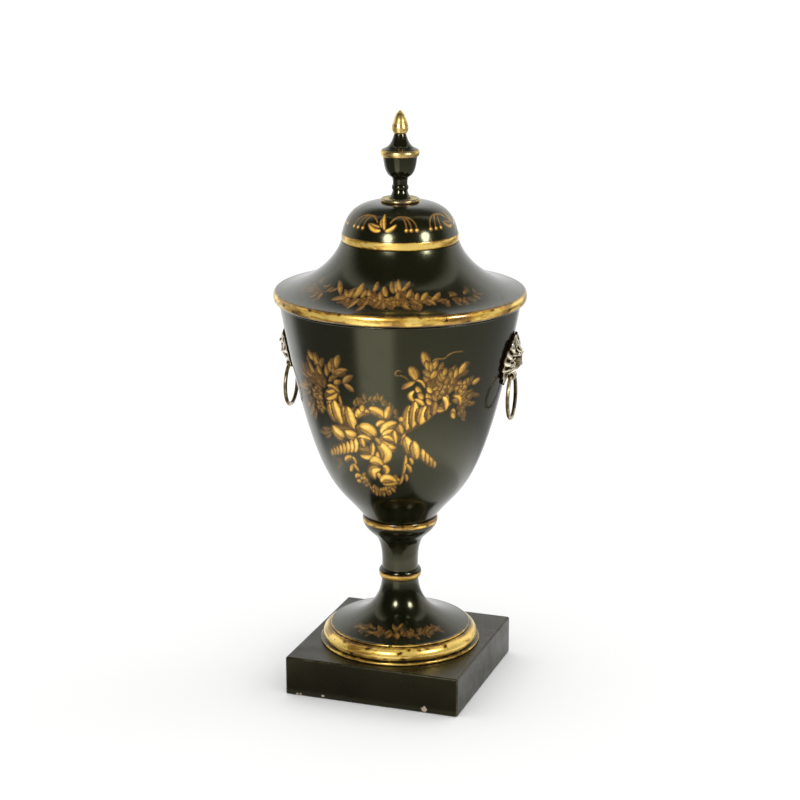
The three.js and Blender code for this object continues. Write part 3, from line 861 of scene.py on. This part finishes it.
def lid():
    """The lid, with a leaf garland on its flange and a frieze of arched sprigs round its dome."""
    flange = spaced(LID_FLANGE, FLANGE_PAINT, FINE_STEP)
    dome = spaced(LID_DOME, DOME_PAINT, DOME_STEP)
    collar_inside = LID_COLLAR - WALL
    under_flange = thinned(inset(sweep(LID_FLANGE, PLAIN_STEP), WALL), LID_INSIDE_SHARE)
    under_flange = under_flange[under_flange[:, 0] < collar_inside][::-1]
    under_dome = thinned(inset(sweep(LID_DOME, PLAIN_STEP), WALL), LID_INSIDE_SHARE)[::-1]
    outside = np.vstack((
        [[collar_inside, LID_FOOT], [LID_COLLAR, LID_FOOT], [LID_COLLAR, LID_RIM[1]]],
        bead(*LID_RIM, steps=18),
        flange,
        bead(*LID_BAND, steps=12),
        dome,
    ))
    profile = np.vstack((
        outside,
        [[0, LID_TOP], [0, LID_TOP - WALL]],
        under_dome,
        under_flange,
        [[collar_inside, under_flange[-1, 1]], [collar_inside, LID_FOOT]],
    ))
    piece, angle, place, row = turned("cover", profile, around(LID_AROUND))
    is_outside = row < len(outside)
    height = np.where(is_outside, place[:, 1], 0)
    garland = Paint(turned_to_front(angle), length_at(height, flange))
    paint_garland(garland)
    frieze = Paint((angle + FRIEZE_SEAM) % 360 - FRIEZE_SEAM, length_at(height, dome), DOME_DEGREE)
    paint_frieze(frieze)
    garland.take(frieze, place[:, 1] > LID_BAND[1])
    inside, lustre = gilt_bands(place[:, 1], LID_GILT)
    inside = worn_away(inside, angle, place, RIM_WEAR)
    garland.store_on(piece, np.where(is_outside, inside, UNGILT), lustre)
    return piece


# Leaves of the foot's garland: base, tip and width, in degrees and in millimetres up the slope
FOOT_LEAVES = [
    ((9, 13), (2.6, 17.4), 2.6), ((11, 13), (17.6, 17.8), 2.6), ((10, 12.4), (10, 15.4), 1.8),
    ((9.6, 11), (10.4, 5.4), 3), ((22, 11.6), (22.6, 5.4), 2.8), ((4, 10), (-2, 5.6), 2.4),
    ((-4, 9), (3, 12), 2), ((34, 8), (40.6, 13.4), 2.4), ((42, 9), (56, 11.8), 2.2),
    ((45, 7), (51, 9.4), 1.8), ((53, 8), (64.6, 10.6), 1.6), ((-8, 5.6), (-9.4, 10), 2.2),
    ((-12, 9), (-25, 9.4), 2), ((-9, 11), (-16.6, 15.4), 1.8), ((-19, 12), (-29, 15), 1.8),
    ((-25, 10.4), (-44, 11.8), 2), ((15, 9), (17, 13), 2), ((28, 8), (26, 11.4), 2),
]


def paint_foot_garland(paint):
    """Faded leaf garland on the foot's slope."""
    for number, across in enumerate(range(-40, 61, 5)):
        paint.cluster((across, 9.6), (0, 360), (0, 3), 5, (2, 3.6), 0.42, 60 + number, 0.6, (1.2, 1.9))
    for number, (base, tip, width) in enumerate(FOOT_LEAVES):
        paint.leaf(base, tip, width, 0.1, 0.46 if number % 3 else 0.54, 0.65)


def foot():
    """The turned foot, stem and cup, with a leaf garland on the foot's slope."""
    trumpet = spaced(TRUMPET, TRUMPET_PAINT, FINE_STEP)
    lip_turn = np.linspace(0, math.pi / 2, CUP_LIP_POINTS)
    radius, height = CUP[-1]
    lip = np.column_stack((
        radius - CUP_LIP + CUP_LIP * np.cos(lip_turn),
        height + (FOOT_TOP - height) * np.sin(lip_turn),
    ))
    profile = np.vstack((
        [[0, PLINTH_HEIGHT]],
        bead(*FOOT_LOWER_BEAD, steps=8),
        sweep(FOOT_ROLL, ROLL_STEP),
        bead(*FOOT_UPPER_BEAD, steps=8),
        trumpet,
        bead(*KNOP),
        sweep(STEM, PLAIN_STEP),
        sweep(CUP, CUP_STEP),
        lip,
        [[0, FOOT_TOP]],
    ))
    piece, angle, place, _ = turned("pedestal", profile, around(FOOT_AROUND))
    paint = Paint(turned_to_front(angle), length_at(place[:, 1], trumpet), FOOT_DEGREE)
    paint_foot_garland(paint)
    inside, lustre = gilt_bands(place[:, 1], FOOT_GILT)
    paint.store_on(piece, worn_away(inside, angle, place, ROLL_WEAR + CUP_WEAR), lustre)
    return piece


def finial():
    """The turned knob on the lid."""
    profile = np.vstack((
        [[0, LID_TOP]],
        bead(*FINIAL_RING, steps=10),
        FINIAL_DISH,
        sweep(FINIAL_FLARE, FINIAL_STEP),
        bead(*FINIAL_NECK_BEAD, steps=12),
        sweep(FINIAL_NECK, FINIAL_STEP),
        sweep(FINIAL_CUP, FINIAL_WIDE_STEP),
        bead(*FINIAL_BEAD),
        sweep(FINIAL_SPIRE, FINIAL_WIDE_STEP),
        sweep(FINIAL_BUD, FINIAL_STEP),
        sweep(FINIAL_TIP, FINIAL_STEP),
    ))
    piece, _, place, _ = turned("knob", profile, np.arange(0, 360, FINIAL_SPACING))
    inside, lustre = gilt_bands(place[:, 1], FINIAL_GILT)
    store(piece, band=share_of(inside), lustre=lustre)
    return piece


def plinth():
    """Square block with rounded edges, turned a little under the urn."""
    corners = [(x, y, z) for z in (0, PLINTH_HEIGHT) for x, y in square(PLINTH_SIDE / 2)]
    sides = [(k, (k + 1) % 4, 4 + (k + 1) % 4, 4 + k) for k in range(4)]
    mesh = smooth_mesh("block", corners, [(3, 2, 1, 0), (4, 5, 6, 7), *sides])
    piece = scene_object("block", mesh)
    rounding = piece.modifiers.new("rounded edges", "BEVEL")
    rounding.width = PLINTH_ROUND * MM
    rounding.segments = PLINTH_ROUND_STEPS
    weighted = piece.modifiers.new("flat faces", "WEIGHTED_NORMAL")
    weighted.keep_sharp = False
    piece.rotation_euler.z = math.radians(PLINTH_TURN)
    return piece


def wall_at(height):
    """Radius of the bowl's outside at a height."""
    curve = sweep(BODY_CURVE, WALL_STEP)
    return np.interp(height, curve[:, 1], curve[:, 0])


def wall_lean(height, span=1):
    """Lean of the bowl's outside from upright at a height, over a short span."""
    return math.atan2(wall_at(height + span / 2) - wall_at(height - span / 2), span)


def mask_reach(angle):
    """Distance from the mask's middle to its scalloped edge."""
    below = np.maximum(0, -np.sin(angle)) ** 2
    wide = MASK_HALF_WIDTH * (1 - MASK_TAPER * below)
    tall = np.where(np.sin(angle) > 0, MASK_UP, MASK_DOWN)
    scallop = 1 + MASK_LOCK_NOTCH * np.sin(MASK_LOCKS * angle)
    return scallop / np.hypot(np.cos(angle) / wide, np.sin(angle) / tall)


def mask_relief(across, up):
    """Height of the lion's face above the wall: a mane in two tiers of curling locks, and the features."""
    angle = np.arctan2(up, across)
    share = np.hypot(across, up) / mask_reach(angle)
    inward = np.clip((1 - share) / MASK_SLOPE, 0, 1)
    swirl = np.sin(math.pi * np.clip((share - MASK_CURL_START) / (1 - MASK_CURL_START), 0, 1))
    curl = angle + MASK_CURL * swirl * np.sign(np.cos(angle))
    mane = smoothstep(*MASK_OUTER_LOCKS["fade"], share)
    second_tier = smoothstep(*MASK_INNER_LOCKS["fade"], share) * smoothstep(*MASK_INNER_LOCKS["end"], share)
    locks = MASK_OUTER_LOCKS["relief"] * np.sin(MASK_LOCKS * curl) * mane
    locks += MASK_INNER_LOCKS["relief"] * np.sin(MASK_LOCKS * curl + math.pi) * second_tier
    locks += MASK_STRANDS["relief"] * np.sin(MASK_STRANDS["number"] * MASK_LOCKS * curl) * mane
    height = MASK_RIM + MASK_MANE * np.sqrt(inward) + locks * np.maximum(inward, MASK_EDGE_RELIEF)
    for side, swellings in ((across, FACE_MIDDLE), (np.abs(across), FACE_PAIRS)):
        for place, level, wide, tall, rise in swellings:
            height += rise * np.exp(-((side - place) / wide) ** 2 - ((up - level) / tall) ** 2)
    below = up - RING_ROOM["below"]
    room = RING_ROOM["height"] + below * np.where(below < 0, RING_ROOM["fall"], RING_ROOM["rise"])
    return np.minimum(height, np.maximum(room, MASK_RIM))


def on_wall(across, up, out):
    """Point of the right-hand mask: across and up along the wall, then out from it."""
    lean = wall_lean(MASK_HEIGHT)
    height = MASK_HEIGHT + up * math.cos(lean)
    radius = wall_at(height) + out * math.cos(lean)
    turn = across / wall_at(MASK_HEIGHT)
    return np.column_stack((radius * np.cos(turn), radius * np.sin(turn), height - out * math.sin(lean)))


def hollows(height):
    """How deep in a hollow each point of a relief is, by its height and the blurred heights around it."""
    blurred = height.copy()
    for _ in range(HOLLOW_BLURS):
        beside = np.roll(blurred, 1, axis=1) + np.roll(blurred, -1, axis=1)
        padded = np.pad(blurred, ((1, 1), (0, 0)), mode="edge")
        blurred = (2 * blurred + beside + padded[:-2] + padded[2:]) / 6
    return np.clip(HOLLOW_MIDDLE + HOLLOW_GAIN * (blurred - height), 0, 1)


def relief_shell():
    """Closed relief of the face: its points, faces and how deep in a hollow each point is."""
    sectors, rings = MASK_GRID["sectors"], MASK_GRID["rings"]
    turn = full_turn(sectors, 0.5)
    share = np.linspace(0, 1, rings + 1)[1:]
    across = np.outer(share, mask_reach(turn) * np.cos(turn))
    up = np.outer(share, mask_reach(turn) * np.sin(turn))
    height = mask_relief(across, up)
    middle = np.zeros(1)
    tip = on_wall(middle, middle, mask_relief(middle, middle))
    front = on_wall(across.ravel(), up.ravel(), height.ravel())
    back = on_wall(across[-1], up[-1], np.full(sectors, MASK_BACK_GAP))
    seat = on_wall(middle, middle, np.full(1, MASK_BACK_GAP))
    points = np.vstack((tip, front, back, seat))
    grid = closed(1 + np.arange((rings + 1) * sectors).reshape(rings + 1, sectors))
    first, last = np.zeros(sectors, int), np.full(sectors, len(points) - 1)
    faces = np.column_stack((first, grid[0, :-1], grid[0, 1:])).tolist()
    faces += grid_faces(grid.T).tolist()
    faces += np.column_stack((grid[-1, :-1], last, grid[-1, 1:])).tolist()
    depth = np.concatenate(([FACE_HOLLOW], hollows(height).ravel(), np.ones(sectors + 1)))
    return points, faces, depth


def jaw_shell():
    """Barrel with a flared bore, across the mouth, that the ring turns in."""
    sides = JAW_GRID["sides"]
    along = np.linspace(-0.5, 0.5, JAW_GRID["points"]) * JAW_LENGTH
    drop = RING_RADIUS - np.sqrt(RING_RADIUS ** 2 - along ** 2)
    bore = np.minimum(RING_WIRE + JAW_CLEARANCE + drop, JAW_RADIUS - JAW_EDGE)
    skin = JAW_RADIUS - JAW_SHOULDER * (np.abs(along) / (0.5 * JAW_LENGTH)) ** JAW_SHOULDER_POWER
    section = np.vstack((np.column_stack((skin, along)), np.column_stack((bore, along))[::-1]))
    turn = full_turn(sides)
    radius, place = section[:, :1], section[:, 1:]
    points = np.stack((
        RING_REACH + radius * np.cos(turn),
        np.broadcast_to(place, (len(section), sides)),
        RING_PIVOT_HEIGHT + radius * np.sin(turn),
    ), axis=2).reshape(-1, 3)
    grid = np.arange(len(points)).reshape(len(section), sides)
    return points, grid_faces(closed(grid, rows_too=True).T).tolist()


def lion_mask(side, sign):
    """Cast lion's face on one side of the bowl."""
    points, faces, depth = relief_shell()
    jaw_points, jaw_faces = jaw_shell()
    faces = faces + [[corner + len(points) for corner in face] for face in jaw_faces]
    points = np.vstack((points, jaw_points)) * [sign, sign, 1]
    piece = smooth_object(f"mask_{side}", points, faces, MASK_SHARP)
    # Hollow depth: patina and painted shade in the hollows, painted highlight where the relief stands out
    store(piece, hollow=np.concatenate((depth, np.full(len(jaw_points), FACE_HOLLOW))))
    return piece


def loop(side, sign):
    """Round wire ring hanging from the lion's mouth."""
    sides, wire = RING_GRID["sides"], RING_GRID["wire"]
    turn = full_turn(sides)
    bend = full_turn(wire)
    radius = RING_RADIUS + RING_WIRE * np.cos(bend)[None, :]
    points = np.stack((
        np.broadcast_to(sign * RING_REACH + RING_WIRE * np.sin(bend)[None, :], (sides, wire)),
        radius * np.cos(turn)[:, None],
        RING_PIVOT_HEIGHT - RING_RADIUS + radius * np.sin(turn)[:, None],
    ), axis=2).reshape(-1, 3)
    grid = np.arange(sides * wire).reshape(sides, wire)
    piece = smooth_object(f"loop_{side}", points, grid_faces(closed(grid, rows_too=True)).tolist())
    # Painted shade round the wire, lightest on the crest, with grime on the inner edge
    shade_and_grime = RING_SHADE_AND_GRIME["crest"] + RING_SHADE_AND_GRIME["edges"] * np.cos(bend) ** 2 - RING_SHADE_AND_GRIME["inner"] * np.cos(bend)
    store(piece, hollow=np.tile(shade_and_grime, sides))
    return piece


class Shader:
    """Material's node tree, with short ways to add nodes."""

    # Most of a noise's values lie in this span
    NOISE_SPAN = (0.3, 0.7)
    # Numbers of the mix node's colour sockets
    MIX_FIRST = 6
    MIX_SECOND = 7
    MIX_RESULT = 2

    def __init__(self, name):
        self.material = bpy.data.materials.new(name)
        self.material.use_nodes = True
        self.tree = self.material.node_tree
        self.surface = self.tree.nodes["Principled BSDF"]
        self.place = self.add("ShaderNodeTexCoord").outputs["Object"]

    def add(self, kind, inputs=(), **settings):
        node = self.tree.nodes.new(kind)
        for name, value in settings.items():
            setattr(node, name, value)
        for name, value in dict(inputs).items():
            self.put(node.inputs[name], value)
        return node

    def put(self, socket, value):
        if isinstance(value, bpy.types.NodeSocket):
            self.tree.links.new(value, socket)
        else:
            socket.default_value = value

    def set(self, **values):
        """Sets the surface's inputs, by name with spaces as underscores."""
        for name, value in values.items():
            self.put(self.surface.inputs[name.replace("_", " ")], value)

    def attribute(self, name):
        return self.add("ShaderNodeAttribute", attribute_name=name).outputs["Fac"]

    def noise(self, scale, detail=4.0, roughness=0.55, stretch=None):
        place = self.place
        if stretch:
            stretched = self.add("ShaderNodeVectorMath", {0: place, 1: stretch}, operation="MULTIPLY")
            place = stretched.outputs["Vector"]
        inputs = {"Vector": place, "Scale": scale, "Detail": detail, "Roughness": roughness}
        return self.add("ShaderNodeTexNoise", inputs).outputs["Fac"]

    def math(self, operation, first, second):
        node = self.add("ShaderNodeMath", operation=operation)
        self.put(node.inputs[0], first)
        self.put(node.inputs[1], second)
        return node.outputs[0]

    def plus(self, first, second):
        return self.math("ADD", first, second)

    def times(self, first, second):
        return self.math("MULTIPLY", first, second)

    def range(self, value, low, high, start=0.0, end=1.0):
        inputs = {"Value": value, "From Min": low, "From Max": high, "To Min": start, "To Max": end}
        return self.add("ShaderNodeMapRange", inputs, interpolation_type="SMOOTHSTEP").outputs["Result"]

    def uneven(self, value, scale, most):
        """A value that noise moves up and down by so much at most."""
        return self.plus(value, self.range(self.noise(scale), *self.NOISE_SPAN, -most, most))

    def ramp(self, value, *stops):
        node = self.add("ShaderNodeValToRGB", {"Fac": value})
        elements = node.color_ramp.elements
        elements.remove(elements[1])
        for number, (position, colour) in enumerate(stops):
            element = elements[0] if number == 0 else elements.new(position)
            element.position = position
            element.color = (*colour, 1)
        return node.outputs["Color"]

    def mix(self, share, first, second):
        node = self.add("ShaderNodeMix", {"Factor": share}, data_type="RGBA")
        self.put(node.inputs[self.MIX_FIRST], first)
        self.put(node.inputs[self.MIX_SECOND], second)
        return node.outputs[self.MIX_RESULT]

    def bump(self, height, strength, distance):
        inputs = {"Height": height, "Strength": strength, "Distance": distance}
        self.set(Normal=self.add("ShaderNodeBump", inputs).outputs["Normal"])


# Gold paint from its brown shadow to its highlight
GOLD_STOPS = (
    (0.0, (0.024, 0.012, 0.004)),
    (0.28, (0.10, 0.046, 0.010)),
    (0.55, (0.275, 0.150, 0.028)),
    (0.80, (0.57, 0.310, 0.042)),
    (1.0, (0.80, 0.54, 0.12)),
)
# Gilt bands, from bare brown size to bright leaf
GILT_STOPS = (
    (0.0, (0.024, 0.012, 0.004)),
    (0.30, (0.11, 0.05, 0.010)),
    (0.55, (0.30, 0.155, 0.025)),
    (0.78, (0.53, 0.31, 0.045)),
    (1.0, (0.82, 0.57, 0.14)),
)
BURNISHED_GOLD = (0.93, 0.80, 0.50, 1)
# How metallic, dull and coated the gold is, and how far the finial's is burnished
PAINT_METAL = 0.12
BAND_METAL = 0.62
BAND_COAT = 0.5
GOLD_DULL = 0.1
FINIAL_METAL = 0.9
FINIAL_DULL = 0.12
FINIAL_BURNISH = 0.22
# Lacquer, from its darkest clouds to its lightest
URN_LACQUER = ((0.0022, 0.0024, 0.0008), (0.0066, 0.0066, 0.0027))
FINIAL_LACQUER = ((0.003, 0.0032, 0.0012), (0.007, 0.0068, 0.003))
PLINTH_LACQUER = ((0.0035, 0.0030, 0.0012), (0.0095, 0.0078, 0.0036))
LACQUER_TINT = (1.0, 0.98, 0.60, 1)
COAT = 0.12
COAT_ROUGHNESS = 0.05
# Plinth's fine line, rubbed corners and bare spots
LINE_COLOUR = (0.020, 0.016, 0.009, 1)
RUBBED_COLOUR = (0.060, 0.046, 0.026, 1)
BARE_COLOUR = (0.30, 0.245, 0.19, 1)
# Brass, from a painted highlight on what stands out to patina and painted shade in the deepest hollows
BRASS_STOPS = (
    (0.28, (0.92, 0.85, 0.68)),
    (0.46, (0.52, 0.42, 0.26)),
    (0.58, (0.14, 0.095, 0.045)),
    (0.72, (0.012, 0.009, 0.005)),
)


def lacquer(shader, dark, light):
    """Colour of black japan, slightly clouded with age."""
    return shader.ramp(shader.noise(22, 5), (0.3, dark), (0.72, light))


def varnish(shader, weight):
    """Clear coat with a warm tint, very slightly uneven."""
    shader.set(Specular_Tint=LACQUER_TINT, Coat_Weight=weight, Coat_Roughness=COAT_ROUGHNESS)
    shader.bump(shader.noise(700, 3), 0.05, 0.0003)


def gilding(shader):
    """Share and colour of worn gilt bands: thin gold with brown patches and black specks."""
    specks = shader.range(shader.noise(240, 3), 0.27, 0.33)
    edge = shader.uneven(shader.attribute("band"), 260, 0.05)
    share = shader.times(shader.range(edge, 0.46, 0.54), specks)
    streaks = shader.noise(60, 5, 0.62, stretch=(1, 1, 5))
    patches = shader.range(shader.noise(26, 3), 0.38, 0.6, 0.66, 1.0)
    tone = shader.times(shader.range(streaks, 0.36, 0.58, 0.5, 1.06), patches)
    # Painted shade: each band darkens towards its edges, and its painted light brightens or darkens it as a
    # whole
    edge_shade = shader.range(edge, 0.5, 0.92, 0.46, 1.0)
    tone = shader.times(shader.times(tone, edge_shade), shader.attribute("lustre"))
    return share, shader.ramp(tone, *GILT_STOPS)


def japan_material():
    """Olive-black lacquer with gold painting and gilt bands."""
    shader = Shader("painted japan")
    wear = shader.range(shader.noise(420, 3), 0.24, 0.40, 0.4, 1)
    covered = shader.range(shader.attribute("gilt"), 0.42, 0.56)
    painted = shader.times(shader.times(covered, shader.attribute("strength")), wear)
    tone = shader.uneven(shader.attribute("tone"), 330, 0.08)
    band, band_colour = gilding(shader)
    colour = shader.mix(painted, lacquer(shader, *URN_LACQUER), shader.ramp(tone, *GOLD_STOPS))
    gold = shader.math("MAXIMUM", painted, band)
    scuffs = shader.range(shader.noise(90, 6, 0.7), 0.5, 0.75, 0.17, 0.28)
    shader.set(
        Base_Color=shader.mix(band, colour, band_colour),
        Metallic=shader.plus(shader.times(painted, PAINT_METAL), shader.times(band, BAND_METAL)),
        Roughness=shader.plus(scuffs, shader.times(gold, GOLD_DULL)),
    )
    varnish(shader, shader.plus(shader.times(band, BAND_COAT), COAT))
    return shader.material


def finial_material():
    """Black lacquer with gilt rings and a gilt bud, burnished paler and brighter than the urn's bands."""
    shader = Shader("gilt finial")
    band, band_colour = gilding(shader)
    band_colour = shader.mix(FINIAL_BURNISH, band_colour, BURNISHED_GOLD)
    gloss = shader.range(shader.noise(90, 5), 0.4, 0.8, 0.12, 0.22)
    shader.set(
        Base_Color=shader.mix(band, lacquer(shader, *FINIAL_LACQUER), band_colour),
        Metallic=shader.times(band, FINIAL_METAL),
        Roughness=shader.plus(gloss, shader.times(band, FINIAL_DULL)),
    )
    varnish(shader, COAT)
    return shader.material


def edge_wear(shader):
    """Shares of the plinth's fine line inside its top edges and of its rubbed corners."""
    axes = shader.add("ShaderNodeSeparateXYZ", {"Vector": shader.place}).outputs
    across, deep = [shader.math("ABSOLUTE", axes[axis], 0) for axis in ("X", "Y")]
    outward = shader.math("MAXIMUM", across, deep)
    half, top = PLINTH_SIDE / 2 * MM, PLINTH_HEIGHT * MM
    line = shader.math("ABSOLUTE", shader.math("SUBTRACT", outward, half - PLINTH_LINE * MM), 0)
    on_top = shader.range(axes["Z"], *[top - depth * MM for depth in PLINTH_TOP_FADE])
    line = shader.times(shader.range(line, *[width * MM for width in PLINTH_LINE_FADE]), on_top)
    upper = shader.plus(shader.math("SUBTRACT", outward, half), shader.math("SUBTRACT", axes["Z"], top))
    upright = shader.math("SUBTRACT", shader.math("MINIMUM", across, deep), half)
    corner = shader.math("MAXIMUM", upper, upright)
    rubbed = shader.range(corner, *[-depth * MM for depth in PLINTH_RUBBED_FADE])
    return line, shader.times(rubbed, shader.range(shader.noise(120, 5, 0.7), 0.42, 0.6))


def chips(shader):
    """Share of bare spots on the plinth's front lower edge."""
    ragged = shader.range(shader.noise(600, 3), *Shader.NOISE_SPAN, -CHIP_RAGGED * MM, CHIP_RAGGED * MM)
    bare = None
    for across, height, radius in PLINTH_CHIPS:
        middle = (across * MM, -PLINTH_SIDE / 2 * MM, height * MM)
        away = shader.add("ShaderNodeVectorMath", {0: shader.place, 1: middle}, operation="DISTANCE")
        spot = shader.plus(away.outputs["Value"], ragged)
        spot = shader.range(spot, radius * MM, (radius - CHIP_EDGE) * MM)
        bare = spot if bare is None else shader.math("MAXIMUM", bare, spot)
    return bare


def plinth_material():
    """Brown-black lacquer, duller than the urn's, rubbed along its edges and chipped at the front."""
    shader = Shader("plinth japan")
    line, rubbed = edge_wear(shader)
    colour = lacquer(shader, *PLINTH_LACQUER)
    colour = shader.mix(line, colour, LINE_COLOUR)
    colour = shader.mix(rubbed, colour, RUBBED_COLOUR)
    shader.set(
        Base_Color=shader.mix(chips(shader), colour, BARE_COLOUR),
        Roughness=shader.range(shader.noise(60, 6, 0.7), 0.35, 0.75, 0.26, 0.42),
        Specular_IOR_Level=0.3,
        Specular_Tint=LACQUER_TINT,
    )
    shader.bump(shader.noise(500, 4), 0.06, 0.0004)
    return shader.material


def brass_material():
    """Pale old brass: a painted highlight on what stands out, patina and painted shade in the hollows."""
    shader = Shader("old brass")
    shade_and_grime = shader.uneven(shader.attribute("hollow"), 180, 0.08)
    shader.set(
        Base_Color=shader.ramp(shade_and_grime, *BRASS_STOPS),
        Metallic=1.0,
        Roughness=shader.range(shade_and_grime, 0.2, 0.8, 0.24, 0.55),
    )
    shader.bump(shader.noise(400, 4), 0.12, 0.0003)
    return shader.material


def stage_mesh(name, corners, faces, material):
    """Part of the studio, which isn't part of the urn."""
    mesh = bpy.data.meshes.new(name)
    mesh.from_pydata(corners, [], faces)
    mesh.materials.append(material)
    piece = scene_object(name, mesh)
    return piece


def floor():
    """Wide pale floor."""
    shader = Shader("pale floor")
    shader.set(Base_Color=FLOOR_COLOUR, Roughness=0.9, Specular_IOR_Level=0)
    corners = [(x, y, 0) for x, y in square(FLOOR_HALF)]
    return stage_mesh("floor", corners, [(0, 1, 2, 3)], shader.material)


def flag(name, corners, faces, material, shade):
    """Dark studio screen that shows only as a reflection in the gloss; shade is 1 where it is white."""
    screen = stage_mesh(name, corners, faces, material)
    store(screen, shade=np.ravel(shade))
    screen.visible_camera = False
    screen.visible_diffuse = False
    screen.visible_transmission = False
    screen.visible_shadow = False
    return screen


def fan(azimuths, distances, heights):
    """Grid of points round the urn in metres, and its faces; azimuth runs from -Y towards +X."""
    turn = np.radians(azimuths)
    corners = [
        (distance * math.sin(angle), -distance * math.cos(angle), height)
        for distance, height in zip(distances, heights) for angle in turn
    ]
    grid = np.arange(len(corners)).reshape(len(distances), len(azimuths))
    return corners, grid_faces(grid).tolist()


def between(value, span, soft):
    """1 inside a span and 0 outside it, with ends that are soft to both sides."""
    first, last = span
    return smoothstep(first - soft, first + soft, value) * smoothstep(last + soft, last - soft, value)


def screen_arc(plan, columns):
    """Azimuths across a screen, and how much of it covers each, less towards its soft ends."""
    first, last = plan["azimuths"]
    azimuths = np.linspace(first - plan["soft"], last + plan["soft"], columns)
    return azimuths, between(azimuths, plan["azimuths"], plan["soft"])


def curved_screen(name, plan, elevations, cover, material):
    """Screen that curves round and over the urn; cover tells how much of it is there at each elevation."""
    azimuths, covered = screen_arc(plan, SCREEN_COLUMNS)
    rise = np.radians(elevations)
    corners, faces = fan(azimuths, SCREEN_DISTANCE * np.cos(rise), SCREEN_DISTANCE * np.sin(rise))
    flag(name, corners, faces, material, 1 - np.outer(cover, covered) * (1 - plan["shade"]))


def floor_screen(material):
    """Screen on the floor, which fades out near the urn and has a soft gap in front."""
    azimuths, covered = screen_arc(FLOOR_SCREEN, FLOOR_SCREEN_COLUMNS)
    distances = np.append(np.linspace(*FLOOR_SCREEN["fade"], FLOOR_SCREEN_ROWS), SCREEN_DISTANCE)
    corners, faces = fan(azimuths, distances, np.full(len(distances), SCREEN_LIFT))
    gap = FLOOR_SCREEN["gap"]
    covered = covered * (1 - between(azimuths, gap, FLOOR_SCREEN["gap_soft"]))
    shade = np.where(azimuths < sum(gap) / 2, *FLOOR_SCREEN["shades"])
    faded = smoothstep(*FLOOR_SCREEN["fade"], distances)
    flag("floor_screen", corners, faces, material, 1 - np.outer(faded, covered * (1 - shade)))


def plinth_screen(material):
    """Small screen on the floor before the plinth's front."""
    half, near, far = NEAR_SCREEN["half"], NEAR_SCREEN["near"], NEAR_SCREEN["far"]
    corners = [(x, -y, SCREEN_LIFT) for x, y in ((-half, near), (half, near), (half, far), (-half, far))]
    shade = np.full(len(corners), NEAR_SCREEN["shade"])
    screen = flag("plinth_screen", corners, [(0, 1, 2, 3)], material, shade)
    screen.rotation_euler.z = math.radians(PLINTH_TURN)


def screens():
    """Dark screens: tall on the camera's side, high behind, on the floor and before the plinth."""
    shader = Shader("dark screen")
    shader.set(Base_Color=shader.attribute("shade"), Roughness=1.0, Specular_IOR_Level=0)
    low = TALL_SCREEN["elevations"]
    curved_screen("tall_screen", TALL_SCREEN, low, np.ones(len(low)), shader.material)
    high = np.linspace(*HIGH_SCREEN["elevations"], HIGH_SCREEN_ROWS)
    curved_screen("high_screen", HIGH_SCREEN, high, smoothstep(*HIGH_SCREEN["fade"], high), shader.material)
    floor_screen(shader.material)
    plinth_screen(shader.material)


def lamp(name, kind, power, azimuth, reach, height):
    """Light that points at the urn's middle from an azimuth, which runs from -Y towards +X."""
    data = bpy.data.lights.new(name, kind)
    data.energy = power
    light = scene_object(name, data)
    side = math.radians(azimuth)
    light.location = (reach * math.sin(side), -reach * math.cos(side), height)
    light.rotation_euler = (math.pi / 2 - math.atan2(height - LIT_HEIGHT, reach), 0, side)
    light.visible_camera = False
    return light


def softbox(name, azimuth, floor_piece):
    """Round soft lamp that lights the urn and not the floor."""
    light = lamp(name, "AREA", LAMP_POWER, azimuth, LAMP_REACH, LAMP_HEIGHT)
    light.data.shape = "DISK"
    light.data.size = LAMP_SIZE
    unlit = bpy.data.collections.new(f"{name} leaves out")
    unlit.objects.link(floor_piece)
    light.light_linking.receiver_collection = unlit
    unlit.collection_objects[0].light_linking.link_state = "EXCLUDE"


def studio():
    """White surroundings, an even light from the right that casts the shadow, and two soft lamps."""
    world = bpy.data.worlds.new("studio")
    bpy.context.scene.world = world
    world.use_nodes = True
    background = world.node_tree.nodes["Background"]
    background.inputs["Color"].default_value = (1, 1, 1, 1)
    background.inputs["Strength"].default_value = WORLD_LIGHT
    floor_piece = floor()
    screens()
    for name, azimuth in LAMPS.items():
        softbox(name, azimuth, floor_piece)
    rise = math.radians(SUN["elevation"])
    reach, height = math.cos(rise), LIT_HEIGHT + math.sin(rise)
    even = lamp("even light", "SUN", SUN["power"], SUN["azimuth"], reach, height)
    even.data.angle = math.radians(SUN["spread"])
    even.visible_glossy = False
    bpy.context.scene.view_settings.view_transform = "Standard"


def camera():
    """Camera at the photograph's place."""
    data = bpy.data.cameras.new("photo camera")
    data.lens = CAMERA_LENS
    data.sensor_width = SENSOR
    view = scene_object("photo camera", data)
    view.location = [place * MM for place in CAMERA_PLACE]
    view.rotation_euler = (math.radians(90 - CAMERA_PITCH), 0, math.radians(CAMERA_AZIMUTH))
    bpy.context.scene.camera = view


def dress(piece, node, body, material):
    """Puts a fine piece in its solid's place."""
    piece.data.materials.append(material)
    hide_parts(node)
    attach(piece, body)


camera()
studio()
japan = japan_material()
brass = brass_material()
dress(plinth(), "plinth", "urn", plinth_material())
dress(foot(), "foot", "urn", japan)
dress(bowl(), "body", "urn", japan)
dress(lid(), "lid", "urn", japan)
dress(finial(), "finial", "urn", finial_material())
for side, sign in (("right", 1), ("left", -1)):
    dress(lion_mask(side, sign), f"lion_mask_{side}", "urn", brass)
    dress(loop(side, sign), f"ring_{side}", f"ring_{side}", brass)
